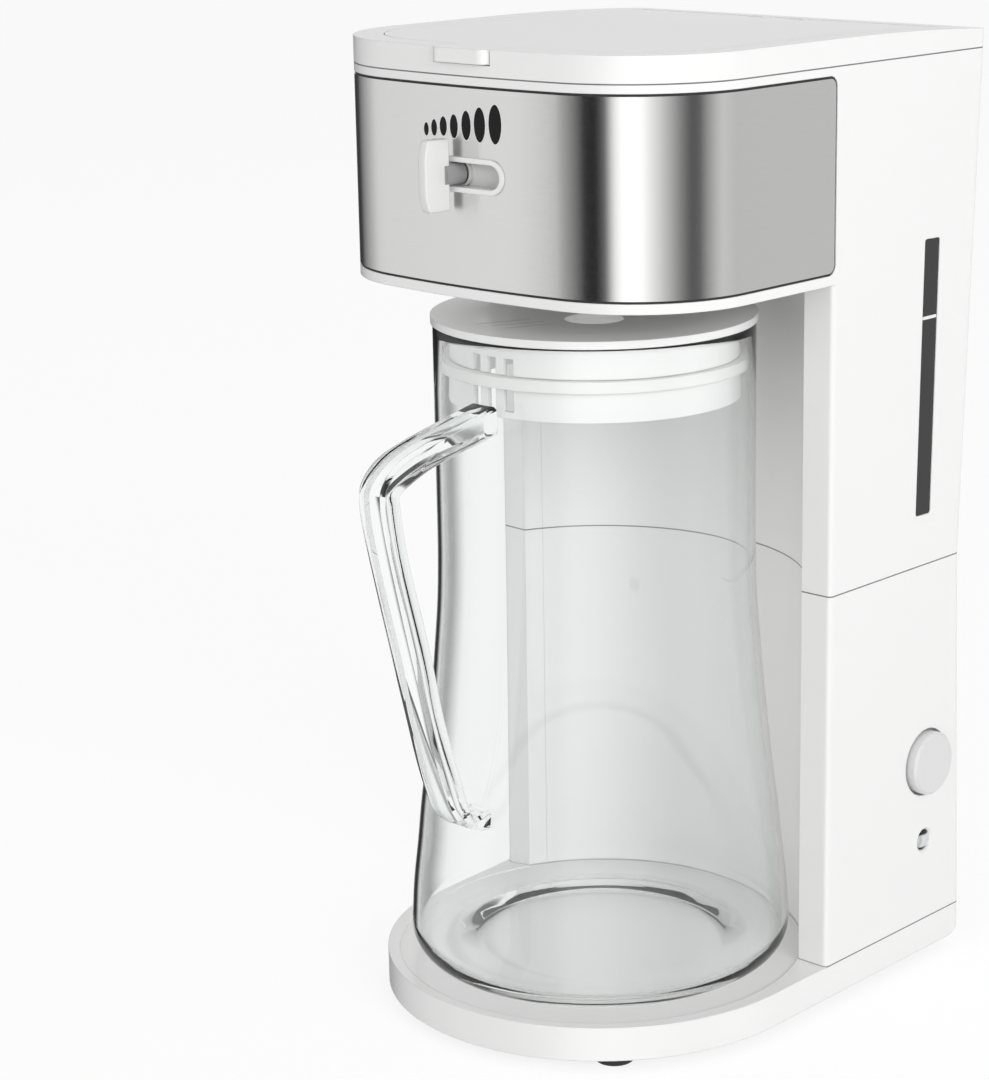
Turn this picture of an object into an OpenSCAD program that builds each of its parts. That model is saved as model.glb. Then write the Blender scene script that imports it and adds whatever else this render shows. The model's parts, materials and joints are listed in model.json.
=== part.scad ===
// Iced tea maker: column housing with a brew head over a clear serving pitcher.
// Millimetres. The front faces -Y, the top +Z, the floor is z = 0.

/* [Overall] */
// height from the floor to the lid rim
total_h = 365; // [330:1:400]
// width across the housing
body_w = 168; // [160:1:190]
// reach of the base ahead of the pitcher axis
base_front = 82; // [78:1:92]
// reach of the brew head ahead of the pitcher axis
head_front = 66.7; // [64:0.1:76]
// rear face behind the pitcher axis, at the base
rear_foot = 123; // [118:0.5:140]
// rear face behind the pitcher axis, at the housing seam
rear_seam = 117.5; // [114:0.5:136]
// rear face behind the pitcher axis, at the top
rear_top = 127; // [120:0.5:146]
// wall of the plastic housings
wall = 2.6; // [2:0.1:3]

/* [Base and column] */
// height of the rubber feet
foot_h = 4; // [3:0.5:7]
// thickness of the base plate
base_t = 13; // [12:0.5:18]
// height of the seam between the lower and upper housing
seam_h = 163; // [150:1:185]
// front of the column behind the pitcher axis
col_front = 34; // [31:0.5:40]
// depth of the shallow dish that locates the pitcher
dish_d = 0.8; // [0.6:0.1:1.4]

/* [Brew head] */
// height of the brew head
head_h = 86.5; // [84:0.5:100]
// height of the lid rim above the housing
rim_h = 9.5; // [9:0.5:12]
// width of the flat rim round the lid panel
rim_w = 11; // [9:0.5:13]
// radius of the nearly flat front
nose_r = 380; // [240:5:480]
// radius of the front corners
corner_r = 48; // [40:1:54]
// thickness of the steel band
band_t = 1.2; // [0.8:0.1:1.4]
// shadow gap round the steel band
band_gap = 0.9; // [0.6:0.1:1.4]
// drop of the top toward the rear
top_drop = 2.7; // [1:0.1:4]

/* [Selector] */
// length of the selector slot
slot_l = 34.4; // [32:0.2:38]
// height of the selector slot
slot_h = 8.6; // [8:0.1:9.6]
// diameter of the selector stem
stem_d = 7.8; // [6:0.1:8]
// height of the selector grip
grip_h = 25; // [20:0.5:28]
// resting angle of the selector, left of centre
rest_a = 4.8; // [2:0.1:6]

/* [Pitcher] */
// neck radius of the pitcher
neck_r = 59.5; // [56:0.5:61]
// belly radius of the pitcher
belly_r = 72.8; // [68:0.2:75]
// thickness of the pitcher wall
glass_t = 2.6; // [2:0.1:3.2]
// gap between the pitcher lid and the brew head
head_gap = 13.7; // [12:0.1:18]
// width of the pitcher handle
handle_w = 13; // [10:0.5:18]

/* [Controls] */
// diameter of the brew button
button_d = 25; // [22:0.5:26]
// stroke of the brew button
button_s = 2.5; // [2:0.1:3]
// how far the brew button stands out of the side
button_out = 4; // [3:0.5:5]
// diameter of the indicator lens
lens_d = 8; // [6:0.2:9]

/* [Water and heat] */
// depth of the heater block
heater_w = 22; // [21:0.5:24]
// outer radius of the water tubes
tube_r = 5; // [4.6:0.1:5]
// bore radius of the water tubes
tube_bore = 3.2; // [2.6:0.1:3.4]
// distance of the water tubes behind the pitcher axis
tube_y = 92; // [91:0.5:94]
// wall of the reservoir
tank_t = 2; // [1.6:0.1:2.4]
// radius of the basket well
well_r = 48.5; // [46:0.5:50]
// radius of the plate round the drip hole
drip_r = 40; // [36:0.5:42]

/* [Hidden] */
$fn = 72;
e = 0.01;
hw = body_w / 2;
z_b0 = foot_h;
z_b1 = foot_h + base_t;
z_seam = seam_h;
z_head = total_h - head_h;
z_rim = total_h - rim_h;
z_band0 = z_head + 4.5;
z_band1 = z_rim - 4;
z_slot = z_band0 + 38.7;
z_deck = z_rim - 15.5;
recess_r = belly_r + 5.7;
dish_r = recess_r - 0.5;
bay_y = col_front + 7;
corner_c = hw - corner_r;
nose_y = nose_r - head_front;
corner_y = nose_y - sqrt(pow(nose_r - corner_r, 2) - pow(corner_c, 2));
head_w = wall + 0.8;
rec_d = band_t + 0.1;
jug_z0 = z_b1 - dish_d + 0.3;
jug_z1 = z_head - head_gap - 3.2;
jug_h = jug_z1 - jug_z0;
ks = neck_r / 59.5;
kh = jug_h / 245.1;
hand_y = 116.1 * ks;
y_mid = (rear_top - hand_y) / 2;
x_mid = button_out / 2;
crown_r = (pow(rear_top - 40, 2) + pow(top_drop, 2)) / (2 * top_drop);
hinge_y = rear_top - rim_w - 7.4;
hinge_z = top_z(hinge_y) - 3.2;
lever_r = head_front + 5.3;
pin_a = asin((slot_l / 2 - stem_d / 2 - 0.4) / lever_r);
tank_x0 = 24 - hw;
tank_y0 = 52;
tank_z0 = z_seam + 15;
tank_g = wall + 1.6;
riser = [15 - hw, tube_y];
inlet = [hw - 58, tube_y];
heat_x = (riser[0] + inlet[0]) / 2;
heater_l = inlet[0] - riser[0] - 2 * tube_r - 15;
heat_y0 = tube_y - 6;
heat_y1 = heat_y0 + heater_w;
strap_y = heat_y1 + 5;
strap_pts = [heat_x - 24, heat_x + 24];
heat_z = z_b1 + 28;
but_y = 97;
but_z = z_b1 + 65.5;
lens_z = z_b1 + 33;
gland = [hw / 2, z_b1 + 16];
win_z0 = z_seam + 20;
win_z1 = z_head + 9.3;
function pair(x, y) = [[x, y], [-x, y]];
deck_pts = concat(pair(hw - 7.2, 38), pair(hw - 28, -34));
seam_pts = concat(pair(hw - 6.5, col_front + 16), pair(hw - 32, rear_seam - 6.3));
base_pts = concat(pair(hw - 6.5, col_front + 16), pair(hw - 20, rear_foot - 17));
cover_pts = concat(pair(30, 18 - base_front), pair(hw - 12, 4), pair(hw / 2, rear_foot - 23));
foot_pts = concat(pair(hw - 33, 32 - base_front), pair(hw - 18, rear_foot - 35));

function rear_y(z) = z <= z_seam
  ? rear_foot + (rear_seam - rear_foot) * (z - z_b1) / (z_seam - z_b1)
  : rear_seam + (rear_top - rear_seam) * (z - z_seam) / (total_h - top_drop - z_seam);
function top_z(y) = y <= 40 ? total_h
  : total_h - crown_r + sqrt(pow(crown_r, 2) - pow(y - 40, 2));

// extrudes a front-to-back profile across the width
module across(w) {
  rotate([90, 0, 90]) linear_extrude(height = w, center = true) children();
}

module column_block(o, z0, z1) {
  across(body_w + 40) polygon(concat([[-140, z0], [rear_y(z0) - o, z0]],
    z0 < z_seam && z1 > z_seam ? [[rear_y(z_seam) - o, z_seam]] : [],
    [[rear_y(z1) - o, z1], [-140, z1]]));
}

// rounds the two upright rear edges over one straight length
module rear_edges(z0, z1, r = 4) {
  lean = atan((rear_y(z1) - rear_y(z0)) / (z1 - z0));
  for (s = [-1, 1]) translate([s * (hw - r - 0.02), rear_y(z0) - r - 0.02, z0]) rotate([-lean, 0, 0])
    translate([0, 0, -3]) linear_extrude(height = z1 - z0 + 6) difference() {
      translate([s > 0 ? 0 : -(r + 3), 0]) square(r + 3);
      circle(r = r);
    }
}

// outline of the brew head, set in by o
module nose2d(o) {
  intersection() {
    translate([0, nose_y]) circle(r = nose_r - o, $fn = 360);
    polygon([[0, nose_y], [1.3 * corner_c, nose_y - 1.3 * (nose_y - corner_y)],
      [-1.3 * corner_c, nose_y - 1.3 * (nose_y - corner_y)]]);
    translate([-hw, -hw * 2]) square([body_w, hw * 2 + corner_y + 1]);
  }
  for (s = [-1, 1]) translate([s * corner_c, corner_y]) circle(r = corner_r - o);
  translate([o - hw, corner_y]) square([body_w - 2 * o, 160 - corner_y]);
}

// outline of the column, set in by o
module col2d(o) {
  difference() {
    translate([o - hw, col_front + o]) square([body_w - 2 * o, 160 - col_front]);
    circle(r = recess_r + o, $fn = 120);
    if (o == 0) for (s = [-1, 1]) translate([s * (hw - 2), col_front + 2]) difference() {
      translate([s > 0 ? 0 : -3, -3]) square(3);
      circle(r = 2, $fn = 32);
    }
  }
}

// wall of the pitcher recess between the column's two front edges, g thicker on both faces
module bay2d(g, t = wall) {
  difference() {
    circle(r = recess_r + t + g, $fn = 120);
    circle(r = recess_r - 4 * g, $fn = 120);
    translate([-hw - 20, bay_y - 200]) square([body_w + 40, 200]);
  }
}

// outline of the base, set in by o
module base2d(o) {
  r = 4 - min(o, 3);
  translate([0, hw - base_front]) circle(r = hw - o, $fn = 144);
  difference() {
    translate([o - hw, hw - base_front]) square([body_w - 2 * o, rear_foot - o - hw + base_front]);
    for (s = [-1, 1]) translate([s * (hw - o - r), rear_foot - o - r]) difference() {
      translate([s > 0 ? 0 : -r - 1, 0]) square(r + 1);
      circle(r = r, $fn = 32);
    }
  }
}

module slot2d(l, h) {
  square([l - h, h], center = true);
  for (s = [-1, 1]) translate([s * (l - h) / 2, 0]) circle(d = h, $fn = 48);
}

// cut or bar through the front at the selector slot
module slot_bar(l, h, y0, y1) {
  translate([0, y1, z_slot]) rotate([90, 0, 0]) linear_extrude(height = y1 - y0) slot2d(l, h);
}

// removes everything above the falling top line
module under_top(d = 0) {
  across(body_w + 40) polygon(concat([[rear_top + 20, 0], [-140, 0], [-140, total_h - d]],
    [for (i = [0 : 15]) let (y = 40 + i * (rear_top - 33) / 15) [y, top_z(y) - d]],
    [[rear_top + 20, top_z(rear_top + 7) - d]]));
}

module screw(l, r = 1.4, head = 2.9, cone = false) {
  difference() {
    union() {
      cylinder(r = r, h = l, $fn = 24);
      translate([0, 0, -2]) cylinder(r = head, h = 2 + e, $fn = 32);
    }
    for (a = [0, 90]) rotate([0, 0, a]) translate([-head * 0.6, -0.4, -2.1]) cube([head * 1.2, 0.8, 1.2]);
  }
}

module base_housing() color("White") difference() {
  intersection() {
    translate([0, 0, z_b0]) linear_extrude(height = base_t) base2d(0);
    across(body_w + 20) union() {
      translate([-140, z_b0]) square([140 + rear_foot - 9, base_t]);
      translate([rear_foot - 10, z_b0 + 9]) square([10, base_t - 9]);
      translate([rear_foot - 9, z_b0 + 9]) circle(r = 9, $fn = 64);
    }
  }
  difference() {
    translate([0, 0, z_b0 - 1]) linear_extrude(height = base_t - 2) intersection() {
      base2d(wall);
      translate([-hw, -hw * 2]) square([body_w, hw * 2 + rear_foot - 10]);
    }
    for (p = cover_pts) translate([p[0], p[1], z_b0 + 2.4]) cylinder(r = 4, h = base_t, $fn = 32);
    for (p = foot_pts) translate([p[0], p[1], z_b0 + 2.4]) cylinder(r = 6, h = base_t, $fn = 32);
    for (p = base_pts) translate([p[0], p[1], z_b0 + 4.4]) cylinder(r = 4.6, h = base_t, $fn = 32);
    for (a = [0 : 45 : 315]) rotate([0, 0, a]) translate([30, -0.8, z_b1 - 7]) cube([40, 1.6, 6]);
    translate([0, 0, z_b1 - 7]) difference() {
      cylinder(r = 31.6, h = 6);
      translate([0, 0, -1]) cylinder(r = 30, h = 8);
    }
  }
  for (p = cover_pts) translate([p[0], p[1], z_b0]) cylinder(r = 1.3, h = 9.2, $fn = 24);
  for (p = foot_pts) translate([p[0], p[1], z_b0]) cylinder(r = 3, h = 7.2, $fn = 32);
  for (p = base_pts) translate([p[0], p[1], z_b0 - 1]) cylinder(r = 1.7, h = base_t + 2, $fn = 24);
  translate([0, 0, z_b1 - dish_d]) cylinder(r = dish_r, h = 5, $fn = 144);
  translate([-30, rear_foot - 35, z_b0]) cube([60, 18, base_t + 1]);
}

module bottom_cover() color("Gainsboro") difference() {
  union() {
    translate([0, 0, z_b0]) linear_extrude(height = 2) intersection() {
      base2d(wall + 0.3);
      translate([-hw, -hw * 2]) square([body_w, hw * 2 + rear_foot - 11]);
    }
    for (s = [-1, 1]) translate([s * (hw - 9.5), col_front, 0.9])
      cylinder(r1 = 4.4, r2 = 5.8, h = z_b0, $fn = 48);
  }
  for (p = cover_pts) translate([p[0], p[1], z_b0 - 1]) cylinder(r = 1.7, h = 5, $fn = 24);
  for (p = foot_pts) translate([p[0], p[1], z_b0 - 1]) cylinder(r = 3.1, h = 5, $fn = 32);
  for (p = base_pts) translate([p[0], p[1], z_b0 - 1]) cylinder(r = 4, h = 5, $fn = 32);
  for (i = [-3 : 3]) translate([i * 9 - 1.5, -20, z_b0 - 1]) cube([3, 44, 4]);
}

module rubber_feet() color("Black") for (p = foot_pts) translate([p[0], p[1], 0]) {
  cylinder(r1 = 7, r2 = 8, h = 1.2, $fn = 48);
  translate([0, 0, 1.2]) cylinder(r = 8, h = foot_h - 1.2 - 0.05, $fn = 48);
  translate([0, 0, foot_h - 0.1]) cylinder(r = 2.95, h = 6, $fn = 32);
}

module cover_screws() color("Silver") for (p = cover_pts) translate([p[0], p[1], z_b0 - 0.05]) screw(8, 1.25);

module base_screws() color("Silver") for (p = base_pts)
  translate([p[0], p[1], z_b0 + 4.35]) screw(base_t + 6, 1.5, 3.4);

module lower_housing() color("White") difference() {
  union() {
    difference() {
      intersection() {
        translate([0, 0, z_b1]) linear_extrude(height = z_seam - z_b1) col2d(0);
        column_block(0, z_b1, z_seam);
      }
      rear_edges(z_b1, z_seam);
      intersection() {
        translate([0, 0, z_b1 - 1]) linear_extrude(height = z_seam - z_b1 + 2) col2d(wall);
        column_block(wall, z_b1 - 1, z_seam);
      }
    }
    difference() {
      union() {
        intersection() {
          translate([0, 0, z_seam - 5]) linear_extrude(height = 4.9) col2d(wall - 0.6);
          column_block(wall - 0.6, z_seam - 5, z_seam);
        }
        intersection() {
          translate([0, 0, z_seam - 4]) linear_extrude(height = 7) col2d(wall + 0.2);
          column_block(wall + 0.2, z_seam - 4, z_seam + 3);
        }
      }
      intersection() {
        translate([0, 0, z_seam - 7]) linear_extrude(height = 12) col2d(wall + 1.6);
        column_block(wall + 1.6, z_seam - 7, z_seam + 4);
      }
    }
    intersection() {
      union() {
        for (p = base_pts) translate([p[0], p[1], z_b1]) cylinder(r = 4.6, h = 18, $fn = 32);
        for (p = seam_pts) translate([p[0], p[1], z_seam - 12]) cylinder(r = 4.6, h = 12, $fn = 32);
        for (x = strap_pts) translate([x - 4, 60, z_b1]) cube([8, rear_foot - 43, heat_z - z_b1 - 14.2]);
        for (p = base_pts) if (p[1] > col_front + 40)
          translate([p[0] - 1.5, p[1] + 2, z_b1]) cube([3, 20, 18]);
      }
      translate([0, 0, z_b1]) linear_extrude(height = z_seam - z_b1) col2d(wall - 0.4);
      column_block(wall - 0.4, z_b1, z_seam);
    }
    translate([hw - wall - 1.2, but_y, but_z]) rotate([0, 90, 0]) cylinder(r = 19.5, h = 2, $fn = 64);
  }
  translate([0, 0, z_b1 - 1]) linear_extrude(height = z_seam - z_b1 + 2) bay2d(0.02);
  translate([0, 0, z_seam - 8]) linear_extrude(height = 14) bay2d(0.02, wall + 2.4);
  for (p = seam_pts) translate([p[0], p[1], z_seam - 0.1]) cylinder(r = 5, h = 6, $fn = 32);
  for (p = base_pts) translate([p[0], p[1], z_b1 - 1]) cylinder(r = 1.55, h = 16, $fn = 24);
  for (p = seam_pts) translate([p[0], p[1], z_seam - 14]) cylinder(r = 1.7, h = 20, $fn = 24);
  for (x = strap_pts) translate([x, strap_y, z_b1 + 2]) cylinder(r = 1.2, h = 30, $fn = 24);
  translate([hw - 10, but_y, but_z]) rotate([0, 90, 0]) cylinder(d = button_d + 2, h = 20, $fn = 64);
  translate([hw - 10, but_y, lens_z]) rotate([0, 90, 0]) cylinder(d = lens_d + 0.3, h = 20, $fn = 48);
  translate([hw - 0.9, but_y, lens_z]) rotate([0, 90, 0])
    cylinder(d1 = lens_d + 0.3, d2 = lens_d + 2.4, h = 1, $fn = 48);
  translate([gland[0], rear_foot - 9, gland[1]]) rotate([-90, 0, 0]) cylinder(r = 6.2, h = 20, $fn = 48);
  for (i = [-4 : 4]) translate([i * 11 - 1.6, rear_foot - 14, z_seam - 58]) cube([3.2, 30, 26]);
}

module upper_housing() color("White") difference() {
  union() {
    difference() {
      intersection() {
        union() {
          translate([0, 0, z_seam]) linear_extrude(height = z_head - z_seam + 1) col2d(0);
          translate([0, 0, z_head]) linear_extrude(height = z_rim - z_head) nose2d(0);
        }
        column_block(0, z_seam, z_rim);
      }
      rear_edges(z_seam, z_rim);
      intersection() {
        union() {
          translate([0, 0, z_seam - 1]) linear_extrude(height = z_head - z_seam + wall + 1.5) col2d(wall);
          translate([0, 0, z_head + wall]) linear_extrude(height = head_h) nose2d(head_w);
        }
        column_block(wall, z_seam - 1, z_rim + 1);
      }
    }
    intersection() {
      union() {
        for (p = seam_pts) translate([p[0], p[1], z_seam + 0.01]) cylinder(r = 4.6, h = 12, $fn = 32);
        for (p = deck_pts)
          translate([p[0], p[1], z_head + 1]) cylinder(r = 4.2, h = z_deck - z_head - 3.7, $fn = 32);
      }
      union() {
        translate([0, 0, z_seam]) linear_extrude(height = z_head - z_seam + 1) col2d(wall - 0.4);
        translate([0, 0, z_head + 1]) linear_extrude(height = head_h) nose2d(head_w - 0.4);
      }
      column_block(wall - 0.4, z_seam, z_rim);
    }
  }
  for (p = seam_pts) translate([p[0], p[1], z_seam - 1]) cylinder(r = 1.35, h = 11, $fn = 24);
  for (p = deck_pts) translate([p[0], p[1], z_deck - 14]) cylinder(r = 1.2, h = 14, $fn = 24);
  translate([0, 0, z_head - 1]) cylinder(r = drip_r, h = 8, $fn = 96);
  translate([0, 0, z_seam - 1]) linear_extrude(height = z_head - z_seam + 1) bay2d(0.02);
  intersection() {
    translate([0, 0, z_band0 - band_gap]) linear_extrude(height = z_band1 - z_band0 + 2 * band_gap)
      difference() { nose2d(-3); nose2d(rec_d); }
    band_side(band_gap);
  }
  slot_bar(slot_l + 1.8, slot_h + 1.8, -head_front - 4, -head_front + 8);
  window_bar(0.15, 20);
  window_bar(2.4, 1.3, hw - wall - 1.25);
}

module lower_bay_wall() color("White")
  translate([0, 0, z_b1]) linear_extrude(height = z_seam - z_b1) bay2d(0);

module upper_bay_wall() color("White")
  translate([0, 0, z_seam]) linear_extrude(height = z_head - z_seam) bay2d(0);

module drip_plate() color("WhiteSmoke") translate([0, 0, z_head]) difference() {
  union() {
    cylinder(r = drip_r - 0.05, h = wall, $fn = 96);
    translate([0, 0, wall]) cylinder(r = drip_r + 2.5, h = 1, $fn = 96);
    cylinder(r = 17, h = 4, $fn = 64);
  }
  translate([0, 0, wall]) difference() {
    cylinder(r = drip_r - 2, h = 2, $fn = 96);
    translate([0, 0, -1]) cylinder(r = 17, h = 6, $fn = 64);
  }
  translate([0, 0, -1]) cylinder(r = 14, h = 6, $fn = 64);
}

module band_side(g) {
  r = 3 + g;
  across(body_w + 20) {
    translate([-140, z_band0 - g]) square([140 + col_front + g - r, z_band1 - z_band0 + 2 * g]);
    translate([col_front - r, z_band0 - g + r]) square([r + g, z_band1 - z_band0 + 2 * g - 2 * r]);
    for (z = [z_band0 - g + r, z_band1 + g - r]) translate([col_front + g - r, z]) circle(r = r, $fn = 48);
  }
}

module steel_band() color("LightSteelBlue") difference() {
  intersection() {
    translate([0, 0, z_band0]) linear_extrude(height = z_band1 - z_band0) difference() {
      nose2d(0);
      nose2d(band_t);
    }
    band_side(0);
  }
  slot_bar(slot_l + 1.8, slot_h + 1.8, -head_front - 4, -head_front + 8);
}

module selector_bezel() color("White") difference() {
  union() {
    intersection() {
      translate([0, 0, z_slot - 10]) linear_extrude(height = 20) difference() {
        nose2d(-0.7);
        nose2d(-0.02);
      }
      slot_bar(slot_l + 3.6, slot_h + 3.6, -head_front - 4, -head_front + 4);
    }
    intersection() {
      slot_bar(slot_l + 1.6, slot_h + 1.6, -head_front - 4, -head_front + 3.2);
      translate([0, 0, z_slot - 10]) linear_extrude(height = 20) nose2d(-0.3);
    }
  }
  slot_bar(slot_l, slot_h, -head_front - 6, -head_front + 8);
}

// leaning level window outline, grown by g, as a bar across the right wall
module window_bar(g, h, x = hw - 10) {
  lean = atan((rear_top - rear_seam) / (total_h - z_seam)) * 0.55;
  translate([x, 91.4, win_z0]) rotate([-lean, 0, 0]) rotate([90, 0, 90])
    linear_extrude(height = h) {
      translate([-4.6 - g, 1 - g]) square([9.2 + 2 * g, win_z1 - win_z0 - 2 + 2 * g]);
      for (y = [-3.6, 3.6]) for (z = [1, win_z1 - win_z0 - 1]) translate([y, z]) circle(r = 1 + g, $fn = 24);
      translate([-3.6, -g]) square([7.2, win_z1 - win_z0 + 2 * g]);
    }
}

module level_window() color("DimGray") {
  window_bar(0, wall + 0.8, hw - wall - 1.1);
  window_bar(2.2, 1, hw - wall - 1.1);
}

module brew_deck() color("WhiteSmoke") difference() {
  union() {
    translate([0, 0, z_deck - 2.6]) linear_extrude(height = 2.6) intersection() {
      nose2d(head_w + 0.4);
      union() {
        translate([-hw, -hw]) square([body_w, hw + tank_y0 - 1]);
        translate([-hw, 0]) square([hw + tank_x0 - 1, rear_y(z_deck) - wall - 1]);
      }
    }
    translate([0, 0, z_head + 10.5]) cylinder(r = well_r, h = z_deck - z_head - 11, $fn = 96);
    translate([0, 0, z_head + 5.2]) cylinder(r = 3, h = 6, $fn = 32);
  }
  translate([0, 0, z_head + 13]) cylinder(r = well_r - 2, h = 80, $fn = 96);
  for (a = [90, 210, 330]) rotate([0, 0, a]) translate([9, 0, z_head + 8]) cylinder(r = 4, h = 8, $fn = 32);
  for (p = deck_pts) translate([p[0], p[1], z_deck - 4]) cylinder(r = 1.6, h = 8, $fn = 24);
  translate([riser[0], riser[1], z_deck - 4]) cylinder(r = tube_r + 0.4, h = 8, $fn = 48);
  translate([0, 0, z_head + 4]) cylinder(r = 0.9, h = 5.5, $fn = 24);
}

module deck_screws() color("Silver") for (p = deck_pts) translate([p[0], p[1], z_deck + 0.05])
  rotate([180, 0, 0]) screw(12, 1.15, 2.8);

module tank2d(o) {
  intersection() {
    translate([tank_x0 + o, tank_y0 + o]) square([hw - tank_g - tank_x0 - 2 * o, 100]);
    children();
  }
}

module reservoir_tank() color("Azure", 0.5) difference() {
  union() {
    intersection() {
      union() {
        translate([0, 0, tank_z0]) linear_extrude(height = z_head + wall + 2 - tank_z0)
          tank2d(0) col2d(tank_g);
        translate([0, 0, z_head + wall + 0.6]) linear_extrude(height = z_deck - z_head - wall - 0.6)
          tank2d(0) nose2d(tank_g);
      }
      column_block(tank_g, tank_z0, z_deck);
    }
    intersection() {
      translate([0, 0, z_deck - 2.4]) linear_extrude(height = 2.4) tank2d(-0.6) nose2d(head_w + 0.5);
      column_block(wall + 0.5, z_deck - 2.4, z_deck);
    }
    translate([inlet[0], inlet[1], tank_z0 - 12]) cylinder(r = tube_r, h = 13, $fn = 40);
  }
  intersection() {
    union() {
      translate([0, 0, tank_z0 + tank_t]) linear_extrude(height = z_head + wall + 3 - tank_z0)
        tank2d(tank_t) col2d(tank_g + tank_t);
      translate([0, 0, z_head + wall + tank_t + 0.6]) linear_extrude(height = z_deck - z_head)
        tank2d(tank_t) nose2d(tank_g + tank_t);
    }
    column_block(tank_g + tank_t, tank_z0 + tank_t, z_deck + 1);
  }
  translate([inlet[0], inlet[1], tank_z0 - 13]) cylinder(r = 3.4, h = 20, $fn = 32);
}

module top_frame() color("White") difference() {
  union() {
    intersection() {
      translate([0, 0, z_rim]) linear_extrude(height = rim_h) difference() {
        nose2d(0);
        intersection() {
          nose2d(rim_w);
          translate([-hw, -hw]) square([body_w, hw + hinge_y + 4.2]);
        }
      }
      column_block(0, z_rim, total_h);
    }
    intersection() {
      translate([0, 0, z_rim]) linear_extrude(height = rim_h - 5.6) difference() {
        nose2d(rim_w - 1);
        nose2d(rim_w + 2.4);
      }
      translate([-hw, -hw * 2, z_rim]) cube([body_w, hw * 2 + hinge_y - 12, rim_h]);
    }
    intersection() {
      translate([0, 0, z_rim - 5]) linear_extrude(height = 6) difference() {
        nose2d(head_w + 0.2);
        nose2d(head_w + 2.2);
      }
      translate([-hw, -hw * 2, z_rim - 5]) cube([body_w, hw * 2 + 100, 6]);
    }
    for (s = [-1, 1]) translate([s * 9.5 - 2.7, 0, 0]) {
      translate([0, hinge_y, hinge_z]) rotate([0, 90, 0]) cylinder(r = 3.8, h = 5.4, $fn = 48);
      translate([0, hinge_y, z_rim]) cube([5.4, 6, hinge_z - z_rim + 1.6]);
      translate([0, hinge_y - 3.8, z_rim]) cube([5.4, 6, hinge_z - z_rim]);
    }
  }
  difference() {
    translate([-hw - 1, -head_front - 60, z_rim - 1])
      cube([body_w + 2, head_front + rear_top + 90, rim_h + 8]);
    under_top();
    for (s = [-1, 1])
      translate([s * 9.5 - 3, hinge_y, hinge_z]) rotate([0, 90, 0]) cylinder(r = 4, h = 6, $fn = 48);
  }
  rear_edges(z_seam, total_h - top_drop);
  translate([-19, hinge_y, hinge_z]) rotate([0, 90, 0]) cylinder(r = 1.55, h = 38, $fn = 32);
  translate([-13.4, -head_front - 3, total_h - 5.4]) cube([26.8, rim_w + 5, 9]);
}

module lid_panel() color("White") difference() {
  union() {
    intersection() {
      translate([0, 0, total_h - 5.2]) linear_extrude(height = 5.2) intersection() {
        nose2d(rim_w + 0.4);
        translate([-hw, -hw]) square([body_w, hw + hinge_y]);
      }
      under_top();
    }
    translate([-hw + rim_w + 1.4, hinge_y, hinge_z]) rotate([0, 90, 0])
      cylinder(r = 3, h = body_w - 2 * rim_w - 2.8, $fn = 48);
    intersection() {
      translate([-13, -head_front - 2.4, total_h - 5]) cube([26, rim_w + 8, 5]);
      translate([0, 0, total_h - 6]) linear_extrude(height = 7) {
        translate([-13, -head_front]) square([26, 20]);
        translate([-9, -head_front - 2.4]) square([18, 20]);
        for (s = [-1, 1]) translate([s * 9, -head_front + 1.6]) circle(r = 4, $fn = 48);
      }
    }
  }
  difference() {
    translate([0, 0, total_h - 6]) linear_extrude(height = 3.4) intersection() {
      nose2d(rim_w + 4.4);
      translate([-hw, -hw]) square([body_w, hw + hinge_y - 5]);
    }
    for (x = [-36, -12, 12, 36]) translate([x - 0.8, -hw, total_h - 5.2]) cube([1.6, hw + hinge_y, 4]);
    for (y = [-20, 30, 80]) translate([-hw, y - 0.8, total_h - 5.2]) cube([body_w, 1.6, 4]);
  }
  for (s = [-1, 1]) translate([s * 9.5 - 3.1, hinge_y - 4.6, hinge_z - 8]) cube([6.2, 12, 20]);
  translate([-20, hinge_y, hinge_z]) rotate([0, 90, 0]) cylinder(r = 1.6, h = 40, $fn = 32);
}

module hinge_pin() color("Silver") translate([-18, hinge_y, hinge_z]) rotate([0, 90, 0])
  cylinder(r = 1.5, h = 36, $fn = 32);

module brew_basket() color("DimGray") difference() {
  union() {
    translate([0, 0, z_head + 16]) cylinder(r = well_r - 2.7, h = z_deck - z_head - 15.5, $fn = 96);
    translate([0, 0, z_deck + 0.1]) cylinder(r = well_r + 3, h = 1.8, $fn = 96);
    translate([0, 0, z_head + 13.2]) cylinder(r = 16, h = 4, $fn = 64);
    for (s = [-1, 1])
      translate([s * (well_r + 4), -6, z_deck + 0.1]) translate([-4, 0, 0]) cube([8, 12, 1.8]);
  }
  translate([0, 0, z_head + 18]) cylinder(r = well_r - 4.3, h = 80, $fn = 96);
  translate([0, 0, z_head + 12]) cylinder(r = 3, h = 10, $fn = 32);
  for (a = [0 : 60 : 300]) rotate([0, 0, a])
    translate([9, 0, z_head + 12]) cylinder(r = 2.4, h = 10, $fn = 24);
}

module tea_filter() color("Goldenrod") difference() {
  union() {
    translate([0, 0, z_head + 18.4])
      cylinder(r1 = well_r - 9, r2 = well_r - 5.2, h = z_deck - z_head - 24, $fn = 72);
    translate([0, 0, z_deck - 8]) cylinder(r = well_r - 4.6, h = 2.4, $fn = 72);
  }
  translate([0, 0, z_head + 19.4])
    cylinder(r1 = well_r - 10, r2 = well_r - 6.2, h = z_deck - z_head - 24, $fn = 72);
  for (a = [0 : 30 : 330]) rotate([0, 0, a])
    translate([20, -5, z_head + 24]) cube([30, 10, z_deck - z_head - 36]);
}

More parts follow.
